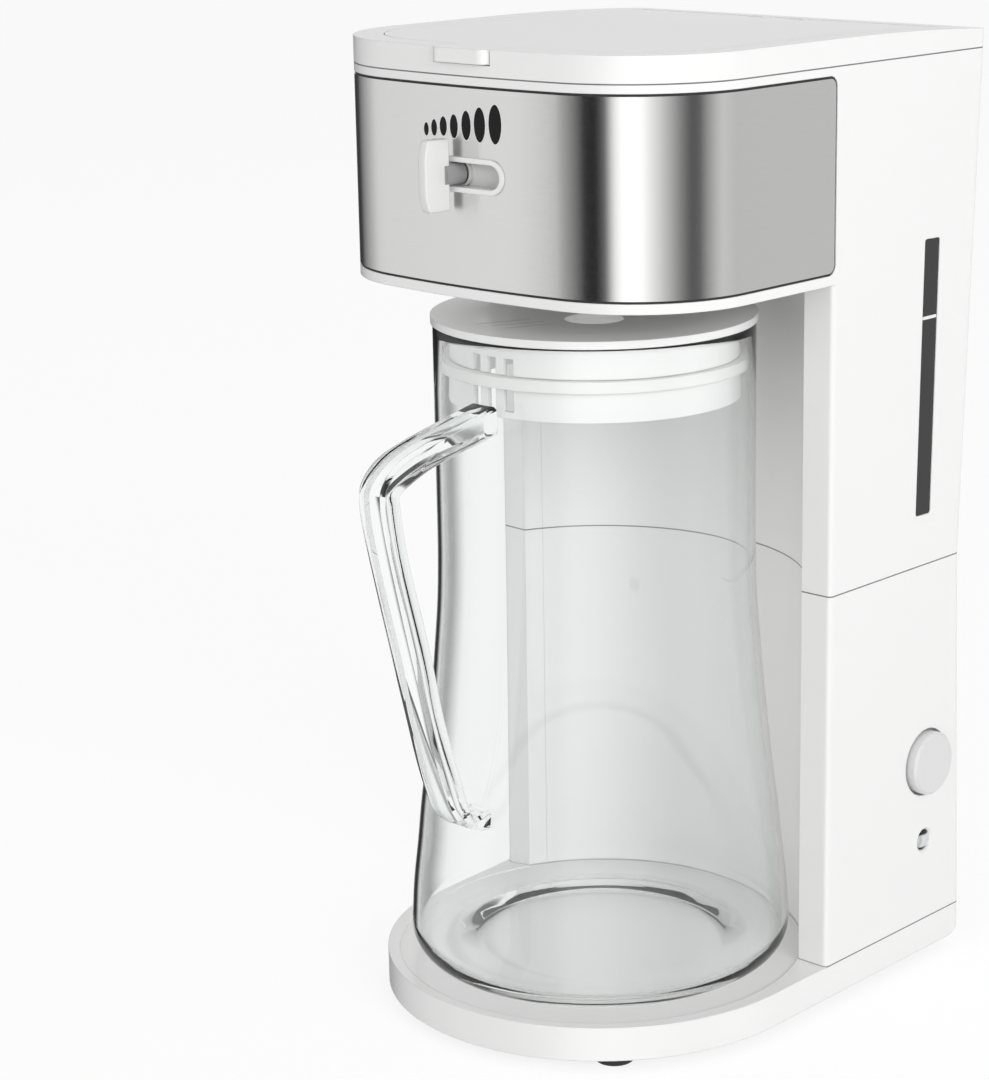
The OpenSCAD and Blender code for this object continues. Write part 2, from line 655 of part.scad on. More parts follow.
module shower_arm() color("WhiteSmoke") {
  l = norm(riser);
  a = atan2(-riser[1], -riser[0]);
  difference() {
    union() {
      translate([riser[0], riser[1], z_deck + 0.6]) cylinder(r = tube_r + 2.5, h = 12, $fn = 48);
      translate([riser[0], riser[1], z_deck + 7.8]) rotate([0, 0, a]) rotate([0, 90, 0])
        cylinder(r = 4, h = l, $fn = 40);
      translate([0, 0, z_deck + 3.8]) cylinder(r1 = 17, r2 = 15, h = 4, $fn = 64);
      translate([0, 0, z_deck + 7.8]) sphere(r = 4.6, $fn = 40);
    }
    translate([riser[0], riser[1], z_deck]) cylinder(r = tube_r + 0.3, h = 7.6, $fn = 40);
    translate([riser[0], riser[1], z_deck + 7.8]) rotate([0, 0, a]) rotate([0, 90, 0])
      cylinder(r = 2.6, h = l, $fn = 32);
    translate([0, 0, z_deck + 5]) cylinder(r = 13.6, h = 1.6, $fn = 48);
    translate([0, 0, z_deck + 5]) cylinder(r = 2.6, h = 3, $fn = 32);
    for (r = [5, 10]) for (i = [0 : r - 1]) rotate([0, 0, i * 360 / r]) translate([r + 0.6, 0, z_deck + 3])
      cylinder(r = 0.9, h = 3, $fn = 16);
  }
}

module pipe(r, ri, h) {
  difference() {
    cylinder(r = r, h = h, $fn = 40);
    translate([0, 0, -1]) cylinder(r = ri, h = h + 2, $fn = 32);
  }
}

module riser_tube() color("WhiteSmoke")
  translate([riser[0], riser[1], heat_z + 12]) pipe(tube_r, tube_r - 1.4, z_deck + 6.6 - heat_z - 12);

module outlet_hose() color("LightGray")
  translate([riser[0], riser[1], heat_z + 6]) pipe(tube_r + 2, tube_r + 0.05, 26);

module inlet_hose() color("LightGray") {
  translate([inlet[0], inlet[1], heat_z + 6]) pipe(tube_r + 2, tube_r + 0.05, 40);
  translate([inlet[0], inlet[1], z_seam - 32]) pipe(tube_r + 2, tube_r + 0.05, 45);
}

module check_valve() color("Ivory") translate([inlet[0], inlet[1], heat_z + 36]) {
  l = z_seam - 20 - heat_z - 36;
  difference() {
    union() {
      cylinder(r = tube_r, h = l, $fn = 40);
      translate([0, 0, 11]) cylinder(r = 8.5, h = l - 24, $fn = 48);
      translate([0, 0, l / 2 - 1.5]) cylinder(r = 10, h = 3, $fn = 48);
    }
    translate([0, 0, -1]) cylinder(r = tube_bore, h = l + 2, $fn = 32);
    translate([0, 0, l / 2 - 6]) cylinder(r = 5.6, h = 12, $fn = 32);
  }
  translate([0, 0, l / 2 - 6 + sqrt(4.2 * 4.2 - tube_bore * tube_bore) + 0.08]) sphere(r = 4.2, $fn = 32);
}

module heater_block() color("Silver") difference() {
  union() {
    translate([heat_x - heater_l / 2, heat_y0, heat_z - 14.1]) cube([heater_l, heater_w, 22.2]);
    translate([riser[0], tube_y, heat_z]) rotate([0, 90, 0])
      cylinder(r = tube_r, h = inlet[0] - riser[0], $fn = 40);
    for (p = [riser, inlet]) translate([p[0], p[1], heat_z]) {
      sphere(r = tube_r, $fn = 40);
      cylinder(r = tube_r, h = 11.8, $fn = 40);
    }
    for (s = [-1, 1])
      translate([heat_x + s * (heater_l / 2 - 1), heat_y1 - 7, heat_z - 7]) rotate([0, s * 90, 0])
      cylinder(r = 2.4, h = 8, $fn = 24);
  }
  translate([riser[0], tube_y, heat_z]) rotate([0, 90, 0])
    cylinder(r = tube_bore, h = inlet[0] - riser[0], $fn = 32);
  for (p = [riser, inlet]) translate([p[0], p[1], heat_z]) cylinder(r = tube_bore, h = 20, $fn = 32);
}

module heater_bracket() color("Gainsboro") for (x = strap_pts) translate([x - 5, 0, 0]) difference() {
  union() {
    translate([0, heat_y0 - 1.2, heat_z - 14.15]) cube([10, 1, 23.35]);
    translate([0, heat_y0 - 1.2, heat_z + 8.2]) cube([10, heater_w + 2.4, 1]);
    translate([0, heat_y1 + 0.2, heat_z - 14.15]) cube([10, 1, 23.35]);
    translate([0, heat_y1 + 0.2, heat_z - 14.15]) cube([10, 8, 1]);
  }
  translate([5, strap_y, heat_z - 16]) cylinder(r = 1.5, h = 5, $fn = 24);
}

module heater_screws() color("Silver") for (x = strap_pts)
  translate([x, strap_y, heat_z - 13.1]) rotate([180, 0, 0]) screw(9, 1.15, 2.6);

module thermostat() color("Silver") translate([heat_x, heat_y0 + 12.5, heat_z + 8.15]) {
  cylinder(r = 8, h = 3.4, $fn = 48);
  cylinder(r = 6.6, h = 9, $fn = 48);
  for (s = [-1, 1]) translate([s * 5 - 2 , -0.4, 8]) cube([4, 0.8, 7]);
}

module thermal_fuse() color("SandyBrown") translate([heat_x, heat_y0 + 1.9, heat_z + 10.3]) {
  rotate([0, 90, 0]) cylinder(r = 2.1, h = 11, center = true, $fn = 32);
  rotate([0, 90, 0]) cylinder(r = 0.5, h = 24, center = true, $fn = 16);
}

module brew_button() color("LightGray") difference() {
  union() {
    translate([hw - 9, but_y, but_z]) rotate([0, 90, 0]) cylinder(d = button_d, h = 8 + button_out, $fn = 72);
    translate([hw - 1 + button_out, but_y, but_z]) rotate([0, 90, 0])
      cylinder(d1 = button_d, d2 = button_d - 2, h = 1, $fn = 72);
    translate([hw - 22, but_y, but_z]) rotate([0, 90, 0]) cylinder(r = 4, h = 16, $fn = 40);
  }
  translate([hw - 10, but_y, but_z]) rotate([0, 90, 0]) difference() {
    cylinder(d = button_d - 3, h = 6, $fn = 64);
    translate([0, 0, -1]) cylinder(r = 4, h = 8, $fn = 40);
  }
}

module button_guide() color("WhiteSmoke") difference() {
  union() {
    translate([hw - wall - 2.9, but_y, but_z]) rotate([0, 90, 0]) cylinder(r = 19, h = 1.6, $fn = 72);
    translate([hw - 20, but_y, but_z]) rotate([0, 90, 0]) cylinder(d = button_d + 4, h = 16, $fn = 72);
    for (s = [-1, 1]) translate([hw - 40, but_y + s * 8.2 - 1, but_z - 8]) cube([21, 2, 16]);
  }
  translate([hw - 18, but_y, but_z]) rotate([0, 90, 0]) cylinder(d = button_d + 0.8, h = 30, $fn = 72);
  translate([hw - 30, but_y, but_z]) rotate([0, 90, 0]) cylinder(r = 4.4, h = 30, $fn = 40);
}

module button_spring() color("Silver") translate([hw - 17.9, but_y, but_z]) rotate([0, 90, 0])
  difference() {
    union() {
      cylinder(r = 7.8, h = 1.1, $fn = 40);
      for (i = [1 : 4]) translate([0, 0, i * 2.7]) cylinder(r = 7.8, h = 1.1, $fn = 40);
      for (a = [0, 180]) rotate([0, 0, a]) translate([6.9, 0, 0]) cylinder(r = 0.55, h = 11.9, $fn = 16);
      translate([0, 0, 10.8]) cylinder(r = 7.8, h = 1.1, $fn = 40);
    }
    translate([0, 0, -1]) cylinder(r = 6.3, h = 20, $fn = 40);
  }

module power_switch() color("Black") translate([hw - 40, but_y, but_z]) {
  difference() {
    translate([0, -7, -9]) cube([14.6, 14, 18]);
    translate([6.8, -2.5, -2.5]) cube([10, 5, 5]);
  }
  for (z = [-5, 0, 5]) translate([-6, -0.4, z - 2]) cube([7, 0.8, 4]);
}

module switch_plunger() color("Ivory") translate([hw - 30.3, but_y - 2.4, but_z - 2.4]) cube([8.3, 4.8, 4.8]);

module indicator_lens() color("WhiteSmoke", 0.6) {
  translate([hw - 4.4, but_y, lens_z]) rotate([0, 90, 0]) rotate_extrude($fn = 48) {
    square([lens_d / 2, 3.6]);
    intersection() {
      translate([0, 3.6 - 4.6]) circle(r = norm([lens_d / 2, 4.6]), $fn = 96);
      square([lens_d / 2, 20]);
    }
  }
  translate([hw - wall - 2.9, but_y, lens_z]) rotate([0, 90, 0]) cylinder(d = lens_d + 4, h = 1.6, $fn = 48);
}

module lamp_holder() color("WhiteSmoke") translate([hw - wall - 3, but_y, lens_z]) rotate([0, -90, 0]) {
  difference() {
    cylinder(d = lens_d + 3, h = 12, $fn = 40);
    translate([0, 0, -1]) cylinder(d = lens_d - 1, h = 9, $fn = 40);
  }
  translate([0, 0, 2]) cylinder(r = 2.2, h = 8, $fn = 24);
  for (s = [-1, 1]) translate([s * 2, 0, 11]) cylinder(r = 0.4, h = 7, $fn = 12);
}

module cord_gland() color("Black")
  translate([gland[0], rear_y(gland[1]), gland[1]]) rotate([-90, 0, 0]) difference() {
  union() {
    translate([0, 0, 0.4]) cylinder(r = 8.5, h = 2.2, $fn = 48);
    translate([0, 0, -wall - 3]) cylinder(r = 6, h = wall + 3.6, $fn = 48);
    translate([0, 0, -wall - 2.6]) cylinder(r = 7.6, h = 1.7, $fn = 48);
  }
  translate([0, 0, -20]) cylinder(r = 3.6, h = 40, $fn = 40);
}

module selector_knob() color("Silver") rotate([0, 0, -rest_a]) translate([0, 0, z_slot]) {
  translate([0, -lever_r - 1, 0]) rotate([90, 0, 0]) translate([0, 0, -10])
    cylinder(d = stem_d, h = 12, $fn = 48);
  translate([-2.2, 0, 0]) rotate([90, 0, 90]) linear_extrude(height = 4.4) intersection() {
    translate([-lever_r - 8.6, -grip_h / 2]) square([9.6, grip_h]);
    translate([-lever_r + 26, 0]) circle(r = 35.2, $fn = 180);
  }
}

module selector_carrier() color("Gainsboro") rotate([0, 0, -rest_a]) difference() {
  union() {
    intersection() {
      translate([0, 0, z_slot - 8]) pipe2(head_front - 5.2, head_front - 6.8, 16);
      translate([-34, -90, z_slot - 8]) cube([68, 60, 16]);
    }
    intersection() {
      translate([0, 0, z_head + 5.4]) pipe2(head_front - 5.2, head_front - 8, z_slot - z_head - 12);
      translate([-7, -90, z_head + 5.4]) cube([14, 60, z_slot - z_head]);
    }
    translate([-7, -head_front + 6, z_head + 5.4]) cube([14, head_front - 8, 2.4]);
    translate([0, 0, z_head + 5.4]) cylinder(r = 15.4, h = 2.4, $fn = 64);
    translate([0, -head_front + 6, z_slot]) rotate([90, 0, 0]) translate([0, 0, -2])
      cylinder(r = 5, h = 4, $fn = 40);
  }
  translate([0, 0, z_head]) cylinder(r = 3.3, h = 12, $fn = 32);
  for (a = [90, 210, 330]) rotate([0, 0, a + rest_a])
    translate([9, 0, z_head]) cylinder(r = 3.4, h = 12, $fn = 32);
  translate([0, -head_front + 10, z_slot]) rotate([90, 0, 0]) cylinder(d = stem_d + 0.1, h = 20, $fn = 48);
}

module pipe2(r, ri, h) {
  difference() {
    cylinder(r = r, h = h, $fn = 144);
    translate([0, 0, -1]) cylinder(r = ri, h = h + 2, $fn = 144);
  }
}

module carrier_clip() color("Silver") translate([0, 0, z_head + 5.1]) {
  translate([0, 0, -1.2]) cylinder(r = 5.4, h = 1.2, $fn = 40);
  cylinder(r = 0.85, h = 4, $fn = 24);
}

// outer outline of the pitcher: height share, belly share
jug = [[0, 0.19], [0.006, 0.56], [0.018, 0.83], [0.033, 0.97], [0.047, 1], [0.071, 0.985],
  [0.116, 0.925], [0.177, 0.79], [0.239, 0.67], [0.3, 0.526], [0.369, 0.383], [0.439, 0.256],
  [0.504, 0.15], [0.565, 0.06], [0.626, 0.015], [0.7, 0], [0.97, 0], [1, 0.04]];
function jug_r(i) = neck_r + (belly_r - neck_r) * jug[i][1];
function jug_zi(i) = jug_z0 + jug_h * jug[i][0];

module jug_solid(g) {
  rotate_extrude($fn = 144) polygon(concat([[0, jug_z0]],
    [for (i = [0 : len(jug) - 1]) [jug_r(i) + g, jug_zi(i)]], [[0, jug_z1]]));
}

module pitcher_glass() color("LightCyan", 0.4) {
  n = len(jug) - 1;
  difference() {
    union() {
      jug_solid(0);
      intersection() {
        translate([0, neck_r - 3, jug_z1 - 26]) cylinder(r1 = 4, r2 = 11, h = 26, $fn = 48);
        translate([-20, neck_r - 8, jug_z1 - 26]) cube([40, 30, 26]);
      }
    }
    rotate_extrude($fn = 144) polygon(concat([[0, jug_z0 + 4.3], [jug_r(0), jug_z0 + 4.3]],
      [for (i = [2 : n])
        [jug_r(i) - glass_t, max(jug_zi(i), jug_z0 + 4.6 + 1.6 * (i - 2)) + (i == n ? 1 : 0)]],
      [[0, jug_z1 + 1]]));
    translate([0, neck_r - 3, jug_z1 - 24]) cylinder(r1 = 2.4, r2 = 9, h = 24.2, $fn = 48);
    translate([0, 0, jug_z0 - 1]) cylinder(r = 50, h = 1.8, $fn = 96);
  }
}

hand_o = [[-63.6, 238.6], [-78.2, 235.6], [-93.3, 232.3], [-106.6, 228.2], [-114.1, 222.1],
  [-116.1, 216], [-114.9, 204.9], [-108.7, 178.4], [-103.7, 158.4], [-97.2, 133], [-90.5, 108.2],
  [-82.6, 90.8], [-70, 83.3], [-60, 83.3]];
hand_i = [[-60, 89], [-67.4, 90.5], [-74.6, 90.5], [-80.4, 106.1], [-88.1, 131.2], [-94, 157.5],
  [-103.2, 192.8], [-106.4, 211.9], [-105.2, 217], [-91.7, 222.6], [-76.5, 225.7], [-61.1, 228.4],
  [-52, 230], [-52, 240.8]];

module pitcher_handle() color("LightCyan", 0.5) difference() {
  across(handle_w) polygon([for (p = concat(hand_o, hand_i)) [p[0] * ks, jug_z0 + (p[1] - 16.5) * kh]]);
  jug_solid(0.05);
  translate([0, 0, jug_z0]) cylinder(r = neck_r + 0.05, h = jug_h, $fn = 144);
}

module pitcher_lid() color("White") difference() {
  union() {
    translate([0, 0, jug_z1 + 0.35]) cylinder(r = neck_r + 0.7, h = 2.85, $fn = 144);
    translate([0, 0, jug_z1 - 27]) cylinder(r = neck_r - 5.5, h = 28, $fn = 120);
  }
  translate([0, 0, jug_z1 - 28]) cylinder(r = neck_r - 7.5, h = 26, $fn = 120);
  translate([0, 0, jug_z1 - 16.2]) difference() {
    cylinder(r = neck_r, h = 4.6, $fn = 120);
    translate([0, 0, -1]) cylinder(r = neck_r - 6.7, h = 7, $fn = 120);
  }
  translate([0, 0, jug_z1 + 0.2]) cylinder(r1 = 12, r2 = 50, h = 3.2, $fn = 96);
  translate([0, 0, jug_z1 - 4]) cylinder(r = 11, h = 9, $fn = 48);
  for (s = [-1 : 1]) {
    rotate([0, 0, s * 8]) translate([-2.1, -neck_r - 2, jug_z1 - 24.6]) cube([4.2, 14, 19]);
    rotate([0, 0, 180 + s * 12]) translate([-3, -neck_r - 2, jug_z1 - 28]) cube([6, 14, 24]);
    translate([s * 6 - 8.8, -46, jug_z1 + 2.6]) rotate([-4.8, 0, 0]) cube([0.8, 27, 3]);
  }
}

module lid_seal() color("Gainsboro", 0.6)
  translate([0, 0, jug_z1 - 16]) pipe2(neck_r - glass_t - 0.35, neck_r - 6.65, 4.2);

module seam_screws() color("Silver") for (p = seam_pts)
  translate([p[0], p[1], z_seam - 12.05]) screw(20, 1.3, 3.2);

translate([-x_mid, -y_mid, 0]) {
  base_housing();
  bottom_cover();
  rubber_feet();
  cover_screws();
  base_screws();
  lower_housing();
  upper_housing();
  lower_bay_wall();
  upper_bay_wall();
  drip_plate();
  seam_screws();
  steel_band();
  selector_bezel();
  level_window();
  brew_deck();
  deck_screws();
  reservoir_tank();
  top_frame();
  lid_panel();
  hinge_pin();
  brew_basket();
  tea_filter();
  shower_arm();
  riser_tube();
  outlet_hose();
  check_valve();
  inlet_hose();
  heater_block();
  heater_bracket();
  heater_screws();
  thermostat();
  thermal_fuse();
  brew_button();
  button_guide();
  button_spring();
  power_switch();
  switch_plunger();
  indicator_lens();
  lamp_holder();
  cord_gland();
  selector_knob();
  selector_carrier();
  carrier_clip();
  pitcher_glass();
  pitcher_handle();
  pitcher_lid();
  lid_seal();
}
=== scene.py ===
# %% [markdown]
# # An iced tea maker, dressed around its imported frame
# The machine brews in its head, above a clear pitcher. The frame already holds every piece at
# its real size and place. This lesson gives each surface its finish, rounds the edges that catch
# the light, and models the clear pieces again, because glass shows every facet that a plain
# plastic wall would hide. It starts with the pitcher's upright axis, from which every length
# here is measured in millimetres.

# %% Load the frame
import json
import math

import bpy
from mathutils import Matrix, Vector


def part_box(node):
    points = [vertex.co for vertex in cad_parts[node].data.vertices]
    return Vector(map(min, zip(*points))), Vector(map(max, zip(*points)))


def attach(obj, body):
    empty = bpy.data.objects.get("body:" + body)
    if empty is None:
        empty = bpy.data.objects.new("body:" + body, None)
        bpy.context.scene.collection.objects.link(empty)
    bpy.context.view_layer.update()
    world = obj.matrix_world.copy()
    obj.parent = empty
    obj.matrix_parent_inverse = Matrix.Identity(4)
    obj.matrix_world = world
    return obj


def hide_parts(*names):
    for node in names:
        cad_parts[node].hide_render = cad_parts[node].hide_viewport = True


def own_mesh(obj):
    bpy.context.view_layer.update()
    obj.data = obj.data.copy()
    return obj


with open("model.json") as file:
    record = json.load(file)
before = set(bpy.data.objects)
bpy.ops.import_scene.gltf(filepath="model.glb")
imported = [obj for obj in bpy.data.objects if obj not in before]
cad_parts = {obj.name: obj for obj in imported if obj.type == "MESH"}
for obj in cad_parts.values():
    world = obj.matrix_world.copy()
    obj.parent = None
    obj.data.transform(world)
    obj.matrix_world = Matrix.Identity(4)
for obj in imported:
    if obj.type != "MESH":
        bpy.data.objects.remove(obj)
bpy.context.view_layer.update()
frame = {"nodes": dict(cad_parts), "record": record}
nodes = frame["nodes"]
MM = 0.001
seal_low, seal_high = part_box("lid_seal")
AXIS_X = (seal_low.x + seal_high.x) / 2
AXIS_Y = (seal_low.y + seal_high.y) / 2
print("nodes:", len(nodes), "pitcher axis at", round(AXIS_X, 5), round(AXIS_Y, 5))


def at(x, y, z):
    """A point in millimetres from the pitcher's axis, as a place in the frame."""
    return Vector((x * MM + AXIS_X, y * MM + AXIS_Y, z * MM))


# %% [markdown]
# ## The camera
# The photograph was taken a little above the machine and about 42 degrees round from its front.
# Its tilt is given as a turn to the right, a pitch down and a small roll. The picture is a crop
# of a wider one, so the lens is shifted sideways by a tenth of the frame.

# %% Place the camera
TURN, PITCH, ROLL = math.radians(41.79), math.radians(15.12), math.radians(-0.59)
CAMERA_PLACE = (683.1, -762.3, 453.3)
LENS_MM, SENSOR_MM = 94.3, 36
SHIFT_ACROSS, SHIFT_UP = -0.0978, 0.002

level = Vector((-math.sin(TURN), math.cos(TURN), 0))
side = Vector((math.cos(TURN), math.sin(TURN), 0))
up = Vector((0, 0, 1))
ahead = level * math.cos(PITCH) - up * math.sin(PITCH)
over = up * math.cos(PITCH) + level * math.sin(PITCH)
right = side * math.cos(ROLL) + over * math.sin(ROLL)
above = over * math.cos(ROLL) - side * math.sin(ROLL)

camera = bpy.data.objects.new("camera", bpy.data.cameras.new("camera"))
bpy.context.scene.collection.objects.link(camera)
camera.matrix_world = Matrix.Translation(at(*CAMERA_PLACE)) @ (
    Matrix((right, above, -ahead)).transposed().to_4x4())
camera.data.lens = LENS_MM
camera.data.sensor_width = SENSOR_MM
camera.data.shift_x = SHIFT_ACROSS
camera.data.shift_y = SHIFT_UP
bpy.context.scene.camera = camera
print("camera", [round(c, 3) for c in camera.location])

# %% [markdown]
# ## Shader sums
# A material is easier to read as sums than as a web of nodes. One small class wraps a socket,
# and its operators add the Math node that they stand for. The reflected forms let a plain
# number stand on the left, as in 1 - mask.


# %% Wrap shader sockets
class Wire:
    """An output socket that can be added, multiplied and compared."""

    def __init__(self, tree, socket):
        self.tree = tree
        self.socket = socket

    def math(self, operation, *values):
        return add_node(self.tree, "ShaderNodeMath", {"operation": operation},
                        dict(enumerate(values)))

    def __add__(self, other):
        return self.math("ADD", self, other)

    def __radd__(self, other):
        return self.math("ADD", other, self)

    def __sub__(self, other):
        return self.math("SUBTRACT", self, other)

    def __rsub__(self, other):
        return self.math("SUBTRACT", other, self)

    def __mul__(self, other):
        return self.math("MULTIPLY", self, other)

    def __rmul__(self, other):
        return self.math("MULTIPLY", other, self)

    def __truediv__(self, other):
        return self.math("DIVIDE", self, other)

    def __rtruediv__(self, other):
        return self.math("DIVIDE", other, self)

    def __lt__(self, other):
        return self.math("LESS_THAN", self, other)

    def __gt__(self, other):
        return self.math("GREATER_THAN", self, other)

    def step(self, low, high):
        """0 below low, 1 above high, and smooth between them."""
        return add_node(self.tree, "ShaderNodeMapRange", {"interpolation_type": "SMOOTHSTEP"},
                        {"Value": self, "From Min": low, "From Max": high})

    def axes(self):
        """The x, y and z of a vector, one wire each."""
        parts = add_node(self.tree, "ShaderNodeSeparateXYZ", {}, {0: self})
        return [Wire(self.tree, socket) for socket in parts.socket.node.outputs]


# %% [markdown]
# Every other kind of node comes from one function. It sets a node's own settings before its
# sockets, because some settings change which sockets a node has. A ramp's stops count as a
# setting.


# %% Add a node
def add_node(tree, kind, settings=None, sockets=None, output=0):
    """Adds a node, sets its settings first and then its sockets, and wraps one output."""
    node = tree.nodes.new(kind)
    for name, value in (settings or {}).items():
        if name == "stops":
            ramp = node.color_ramp
            while len(ramp.elements) < len(value):
                ramp.elements.new(1.0)
            for element, (place, colour) in zip(ramp.elements, value):
                element.position = place
                element.color = (*colour, 1)
        else:
            setattr(node, name, value)
    for name, value in (sockets or {}).items():
        socket = node.inputs[name]
        if isinstance(value, Wire):
            tree.links.new(value.socket, socket)
        else:
            socket.default_value = value
    return Wire(tree, node.outputs[output])


# %% [markdown]
# Every finish in this lesson is one Principled shader. Its constants are set on its own sockets,
# and only what changes over the surface is wired in. Patterns follow Object coordinates, so they
# stay on a piece when it moves.


# %% Wrap the Principled shader
class Finish:
    """A material with one Principled shader, and short names for what feeds it."""

    def __init__(self, name, colour, roughness, **constants):
        self.material = bpy.data.materials.new(name)
        self.material.use_nodes = True
        self.tree = self.material.node_tree
        self.shader = self.tree.nodes["Principled BSDF"]
        self.put(**{"Base Color": (*colour, 1), "Roughness": roughness})
        self.put(**{name.replace("_", " "): value for name, value in constants.items()})
        self.material.diffuse_color = (*colour, 1)

    def put(self, **sockets):
        for name, value in sockets.items():
            if isinstance(value, Wire):
                self.tree.links.new(value.socket, self.shader.inputs[name])
            else:
                self.shader.inputs[name].default_value = value

    def node(self, kind, settings=None, sockets=None, output=0):
        return add_node(self.tree, kind, settings, sockets, output)

    def axes(self, output="Object"):
        """Object coordinates, or the object's own normal, one wire for each axis."""
        return self.node("ShaderNodeTexCoord", output=output).axes()

    def noise(self, scale, detail, stretch=(1, 1, 1)):
        """A noise on Object coordinates, squeezed or stretched along each axis."""
        here = self.node("ShaderNodeTexCoord", output="Object")
        place = self.node("ShaderNodeMapping", {}, {"Vector": here, "Scale": stretch})
        return self.node("ShaderNodeTexNoise", {},
                         {"Vector": place, "Scale": scale, "Detail": detail})

    def tint(self, share, first, second):
        """A base colour that turns from one into another as share goes from 0 to 1."""
        self.put(**{"Base Color": self.node(
            "ShaderNodeMix", {"data_type": "RGBA"},
            {0: share, 6: (*first, 1), 7: (*second, 1)}, output=2)})

    def bump(self, height, strength, distance, **more):
        self.put(Normal=self.node("ShaderNodeBump", {}, {
            "Height": height, "Strength": strength, "Distance": distance, **more}))


# %% [markdown]
# ## The studio
# White plastic on white needs soft light from all round, so the world lights it evenly, a little
# less from above, and two large lamps add the rest. What the world shows depends on where a ray
# looks: on its height, and on its bearing, which goes once round from 0 to 1, with the machine's
# front at a half.

# %% Prepare the world
scene = bpy.context.scene
scene.view_settings.view_transform = "Standard"
world = bpy.data.worlds.new("studio")
world.use_nodes = True
scene.world = world
tree = world.node_tree
tree.nodes.clear()

east, north, high = add_node(tree, "ShaderNodeTexCoord", output="Generated").axes()
bearing = east.math("ARCTAN2", east, 0 - north) / math.tau + 0.5
print("world", world.name)

# %% [markdown]
# Steel and glass show what surrounds them, and in an all white room both would vanish. A
# photographer stands dark flags round them. Here the world does that, with dark upright bands at
# fixed bearings: one set for what steel mirrors, and a single narrow band for the edges of
# glass. Each stop is a bearing in degrees and the brightness there. A ramp's greys are kept from
# 0 to 1, so the brighter set is scaled down to fit and up again.

# %% Hang the flags
FLAGS = [(-180, 0.85), (-130, 0.9), (-124, 0.05), (-108, 0.05), (-98, 0.3), (-84, 0.6),
         (-70, 0.95), (-36, 1.05), (-27, 0.55), (-12, 0.22), (-4, 0.02), (6, 0.02), (14, 0.2),
         (22, 1.3), (30, 1.7), (44, 1.6), (53, 1.2), (65, 0.75), (77, 0.35), (86, 0.12),
         (94, 0.12), (103, 0.45), (116, 0.85), (132, 0.73), (150, 0.75), (180, 0.85)]
TOP_FLAG = 1.7
EDGES = [(-180, 0.95), (-131, 0.97), (-127, 0.03), (-116, 0.03), (-110, 0.9), (180, 0.95)]
CEILING_LOW, CEILING_HIGH, CEILING = 0.75, 0.95, 0.9


def by_bearing(stops, top=1.0):
    """A grey that follows the bearing through a list of degrees and brightness."""
    greys = [(angle / 360 + 0.5, [light / top] * 3) for angle, light in stops]
    return add_node(tree, "ShaderNodeValToRGB", {"stops": greys}, {0: bearing})


overhead = high.step(CEILING_LOW, CEILING_HIGH)
mirrored = by_bearing(FLAGS, TOP_FLAG) * TOP_FLAG * (1 - overhead) + overhead * CEILING
print("flags at", [angle for angle, light in FLAGS if light < 0.4])

# %% [markdown]
# Light Path says by what kind of ray the world is seen, so each kind gets its own picture: the
# camera a white backdrop, glossy rays the flags, bent rays the band for glass, and all the
# others the even light.

# %% Choose the light by the kind of ray
BACKDROP, LOW_SKY, HIGH_SKY = 0.98, 0.76, 0.5


def ray_kinds(tree):
    """The outputs of Light Path by name, one wire each."""
    path = add_node(tree, "ShaderNodeLightPath")
    return {output.name: Wire(tree, output) for output in path.socket.node.outputs}


rays = ray_kinds(tree)
seen, glossy, clear = (rays[f"Is {kind} Ray"] for kind in ("Camera", "Glossy", "Transmission"))
ambient = LOW_SKY - high.step(0, 1) * (LOW_SKY - HIGH_SKY)
glow = seen * BACKDROP + (1 - seen) * ambient
glow = glow * (1 - glossy) + mirrored * glossy
glow = glow * (1 - clear) + by_bearing(EDGES) * clear
sky = add_node(tree, "ShaderNodeBackground", {}, {"Color": (1, 1, 1, 1), "Strength": glow})
out = tree.nodes.new("ShaderNodeOutputWorld")
tree.links.new(sky.socket, out.inputs["Surface"])
print("world nodes", len(tree.nodes))

# %% [markdown]
# Two large square lamps give the shells their shape. The key stands on the right and makes that
# side the brightest, and a weaker fill stands in front. They are kept out of reflections, which
# belong to the flags.

# %% Place the lamps
LAMP_SIZE, LAMP_AIM = 1.6, Vector((0, 0, 0.2))


def lamp(name, place, power):
    """A square area lamp that looks at the machine, kept out of mirror reflections."""
    data = bpy.data.lights.new(name, "AREA")
    data.shape = "SQUARE"
    data.size = LAMP_SIZE
    data.energy = power
    light = bpy.data.objects.new(name, data)
    scene.collection.objects.link(light)
    light.location = Vector(place)
    light.rotation_euler = (LAMP_AIM - light.location).to_track_quat("-Z", "Y").to_euler()
    light.visible_glossy = False
    light.visible_transmission = False
    print("lamp", name, power, "W")


lamp("key", (2.4, -0.7, 0.9), 32)
lamp("fill", (0.3, -2.8, 1.2), 10)

# %% [markdown]
# The floor is one white sheet. It glows a little for the camera only, so it keeps the shadow and
# still reads as white. Reflected and bent rays pass it by and reach the world's bands.

# %% Lay the floor
FLOOR_SIZE, FLOOR_GLOW = 12, 0.83
FLOOR_SHADE, FLOOR_WHITE = (0.2, 0.2, 0.2, 1), (0.8, 0.8, 0.8, 1)

